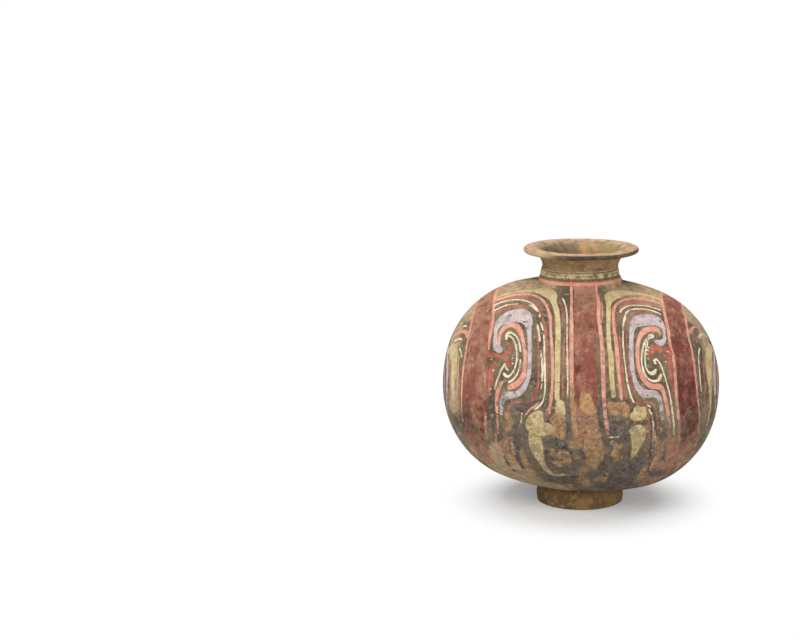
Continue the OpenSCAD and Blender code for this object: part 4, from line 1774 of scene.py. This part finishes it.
@dataclass(frozen=True)
class Studio:
    """Pale floor, soft lamps and the camera, placed so that the jar falls where it is seen.

    The camera's distance and the floor's radius and drop are metres, and the floor's fade is millimetres.
    """

    form: CocoonForm
    lamps: tuple[Lamp, ...] = (
        Lamp("key_lamp", (-1.3, -1.7, 1.9), 1.5, 46.0),
        Lamp("fill_lamp", (1.7, -1.5, 1.1), 1.6, 17.0),
        Lamp("top_lamp", (-0.1, 0.5, 2.2), 1.6, 26.0),
    )
    image: tuple[float, float] = (800.0, 640.0)
    jar_pixel: tuple[float, float] = (579.6, 382.7)
    distance: float = 1.6
    metres_per_pixel: float = 0.00105
    elevation: float = math.radians(12.9)
    roll: float = math.radians(-1.2)
    sensor: float = 36.0
    floor_fade: tuple[float, float] = (45.0, 155.0)
    floor_glow: float = 0.2
    floor_drop: float = 0.0003
    floor_radius: float = 9.0
    floor_sides: int = 64
    floor_tone: float = 0.8
    world_light: float = 0.42

    def build(self, effects: Effects) -> None:
        """Sets up the camera, the floor, the lamps and the backdrop.

        Args:
            effects: The shared node groups.
        """
        self._camera()
        self._floor(effects.turned)
        self._backdrop()
        jar = Vector((0.0, 0.0, self.form.belly_z * METRE))
        for lamp in self.lamps:
            lamp.hang(jar)

    def _camera(self) -> None:
        """Places the camera on the line of sight and turns it so that the jar falls on its pixel."""
        focal = self.distance / self.metres_per_pixel
        sight = Vector((self.jar_pixel[0] - self.image[0] / 2, self.image[1] / 2 - self.jar_pixel[1])) / focal
        right, up = Matrix.Rotation(self.roll, 2) @ sight
        reach = math.sqrt(1.0 + right**2 + up**2)
        tip = math.atan(up)
        pitch = math.asin(-reach * math.sin(self.elevation) * math.cos(tip)) - tip
        yaw = math.atan(right / (math.cos(pitch) - up * math.sin(pitch)))
        data = bpy.data.cameras.new("camera")
        data.sensor_width = self.sensor
        data.lens = focal * self.sensor / self.image[0]
        camera = bpy.data.objects.new("camera", data)
        camera.location = (
            0.0,
            -self.distance * math.cos(self.elevation),
            self.form.belly_z * METRE + self.distance * math.sin(self.elevation),
        )
        level = Euler((math.pi / 2 + pitch, 0.0, yaw)).to_matrix()
        camera.rotation_euler = (level @ Matrix.Rotation(self.roll, 3, "Z")).to_euler()
        bpy.context.scene.collection.objects.link(camera)
        bpy.context.scene.camera = camera

    def _floor(self, turned: bpy.types.NodeTree) -> None:
        """Lays a pale floor that keeps the jar's shadow and fades to white away from it."""
        shape = bmesh.new()
        under = Matrix.Translation((0.0, 0.0, -self.floor_drop))
        bmesh.ops.create_circle(
            shape, cap_ends=True, segments=self.floor_sides, radius=self.floor_radius, matrix=under
        )
        data = bpy.data.meshes.new("floor")
        shape.to_mesh(data)
        shape.free()
        floor = bpy.data.objects.new("floor", data)
        bpy.context.scene.collection.objects.link(floor)
        material, wiring, shader = new_finish("floor_paint", 1.0)
        shader.inputs["Base Color"].default_value = (self.floor_tone, self.floor_tone, self.floor_tone, 1.0)
        shader.inputs["Specular IOR Level"].default_value = 0.0
        white = wiring.add("Emission")
        away = wiring.ease(wiring.group(turned, Place=wiring.place())["Radius"], *self.floor_fade)
        seen = wiring.math("MULTIPLY", wiring.add("LightPath").outputs["Is Camera Ray"],
                           wiring.math("MAXIMUM", away, self.floor_glow))
        choose = wiring.add("MixShader")
        wiring.feed(choose.inputs[0], seen)
        wiring.feed(choose.inputs[1], shader.outputs[0])
        wiring.feed(choose.inputs[2], white.outputs[0])
        wiring.feed(wiring.tree.nodes["Material Output"].inputs["Surface"], choose.outputs[0])
        data.materials.append(material)

    def _backdrop(self) -> None:
        """Gives the world a soft light and a white backdrop."""
        world = bpy.data.worlds.new("backdrop")
        world.use_nodes = True
        bpy.context.scene.world = world
        wiring = Wiring(world.node_tree)
        plain = world.node_tree.nodes["Background"]
        plain.inputs["Color"].default_value = (1.0, 1.0, 1.0, 1.0)
        seen = wiring.add("LightPath")
        strength = wiring.add("Mix", data_type="FLOAT")
        wiring.feed(strength.inputs[0], seen.outputs["Is Camera Ray"])
        strength.inputs[2].default_value = self.world_light
        strength.inputs[3].default_value = 1.0
        wiring.feed(plain.inputs["Strength"], strength.outputs[0])


# The jar


def place_piece(piece: bpy.types.Object, node: str, material: bpy.types.Material) -> None:
    """Dresses a piece and lets it stand for its node.

    Args:
        piece: The piece.
        node: The node that it stands for.
        material: Its material.
    """
    piece.data.materials.clear()
    piece.data.materials.append(material)
    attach(piece, BODY)
    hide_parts(node)
    LOG.info("%s stands for %s, %d faces", piece.name, node, len(piece.data.polygons))


def main() -> None:
    """Builds the jar, the studio and the camera."""
    logging.basicConfig(level=logging.INFO, format="%(message)s")
    bpy.context.scene.view_settings.view_transform = "Standard"
    form = CocoonForm()
    effects = Effects()
    painting = Painting(form)
    painted = PaintedClay().make(effects)
    for side in Side:
        half = BodyHalf(form, side).build()
        painting.apply(half)
        place_piece(half, f"{side.name.lower()}_half", painted)

    place_piece(Neck(form).build(), "neck", NeckClay().make(effects))
    cordon = Cordon(form).build()
    painting.apply(cordon)
    place_piece(cordon, "neck_cordon", PaintedClay("cordon_paint", CORDON_RINGS).make(effects))
    foot_clay = TurnedClay("foot_earth", "a58759", "886b45", "644e34", "8f6d3c").make(effects)
    place_piece(Foot(form).build(), "foot_ring", foot_clay)

    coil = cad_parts["seam_coil"]
    bare_clay = TurnedClay("coil_clay", "8f7d63", "6e614c", "544a3b", "7b6a50").make(effects)
    coil.data.materials.clear()
    coil.data.materials.append(bare_clay)
    LOG.info("seam_coil keeps its own solid")

    Studio(form).build(effects)


if __name__ == "__main__":
    main()
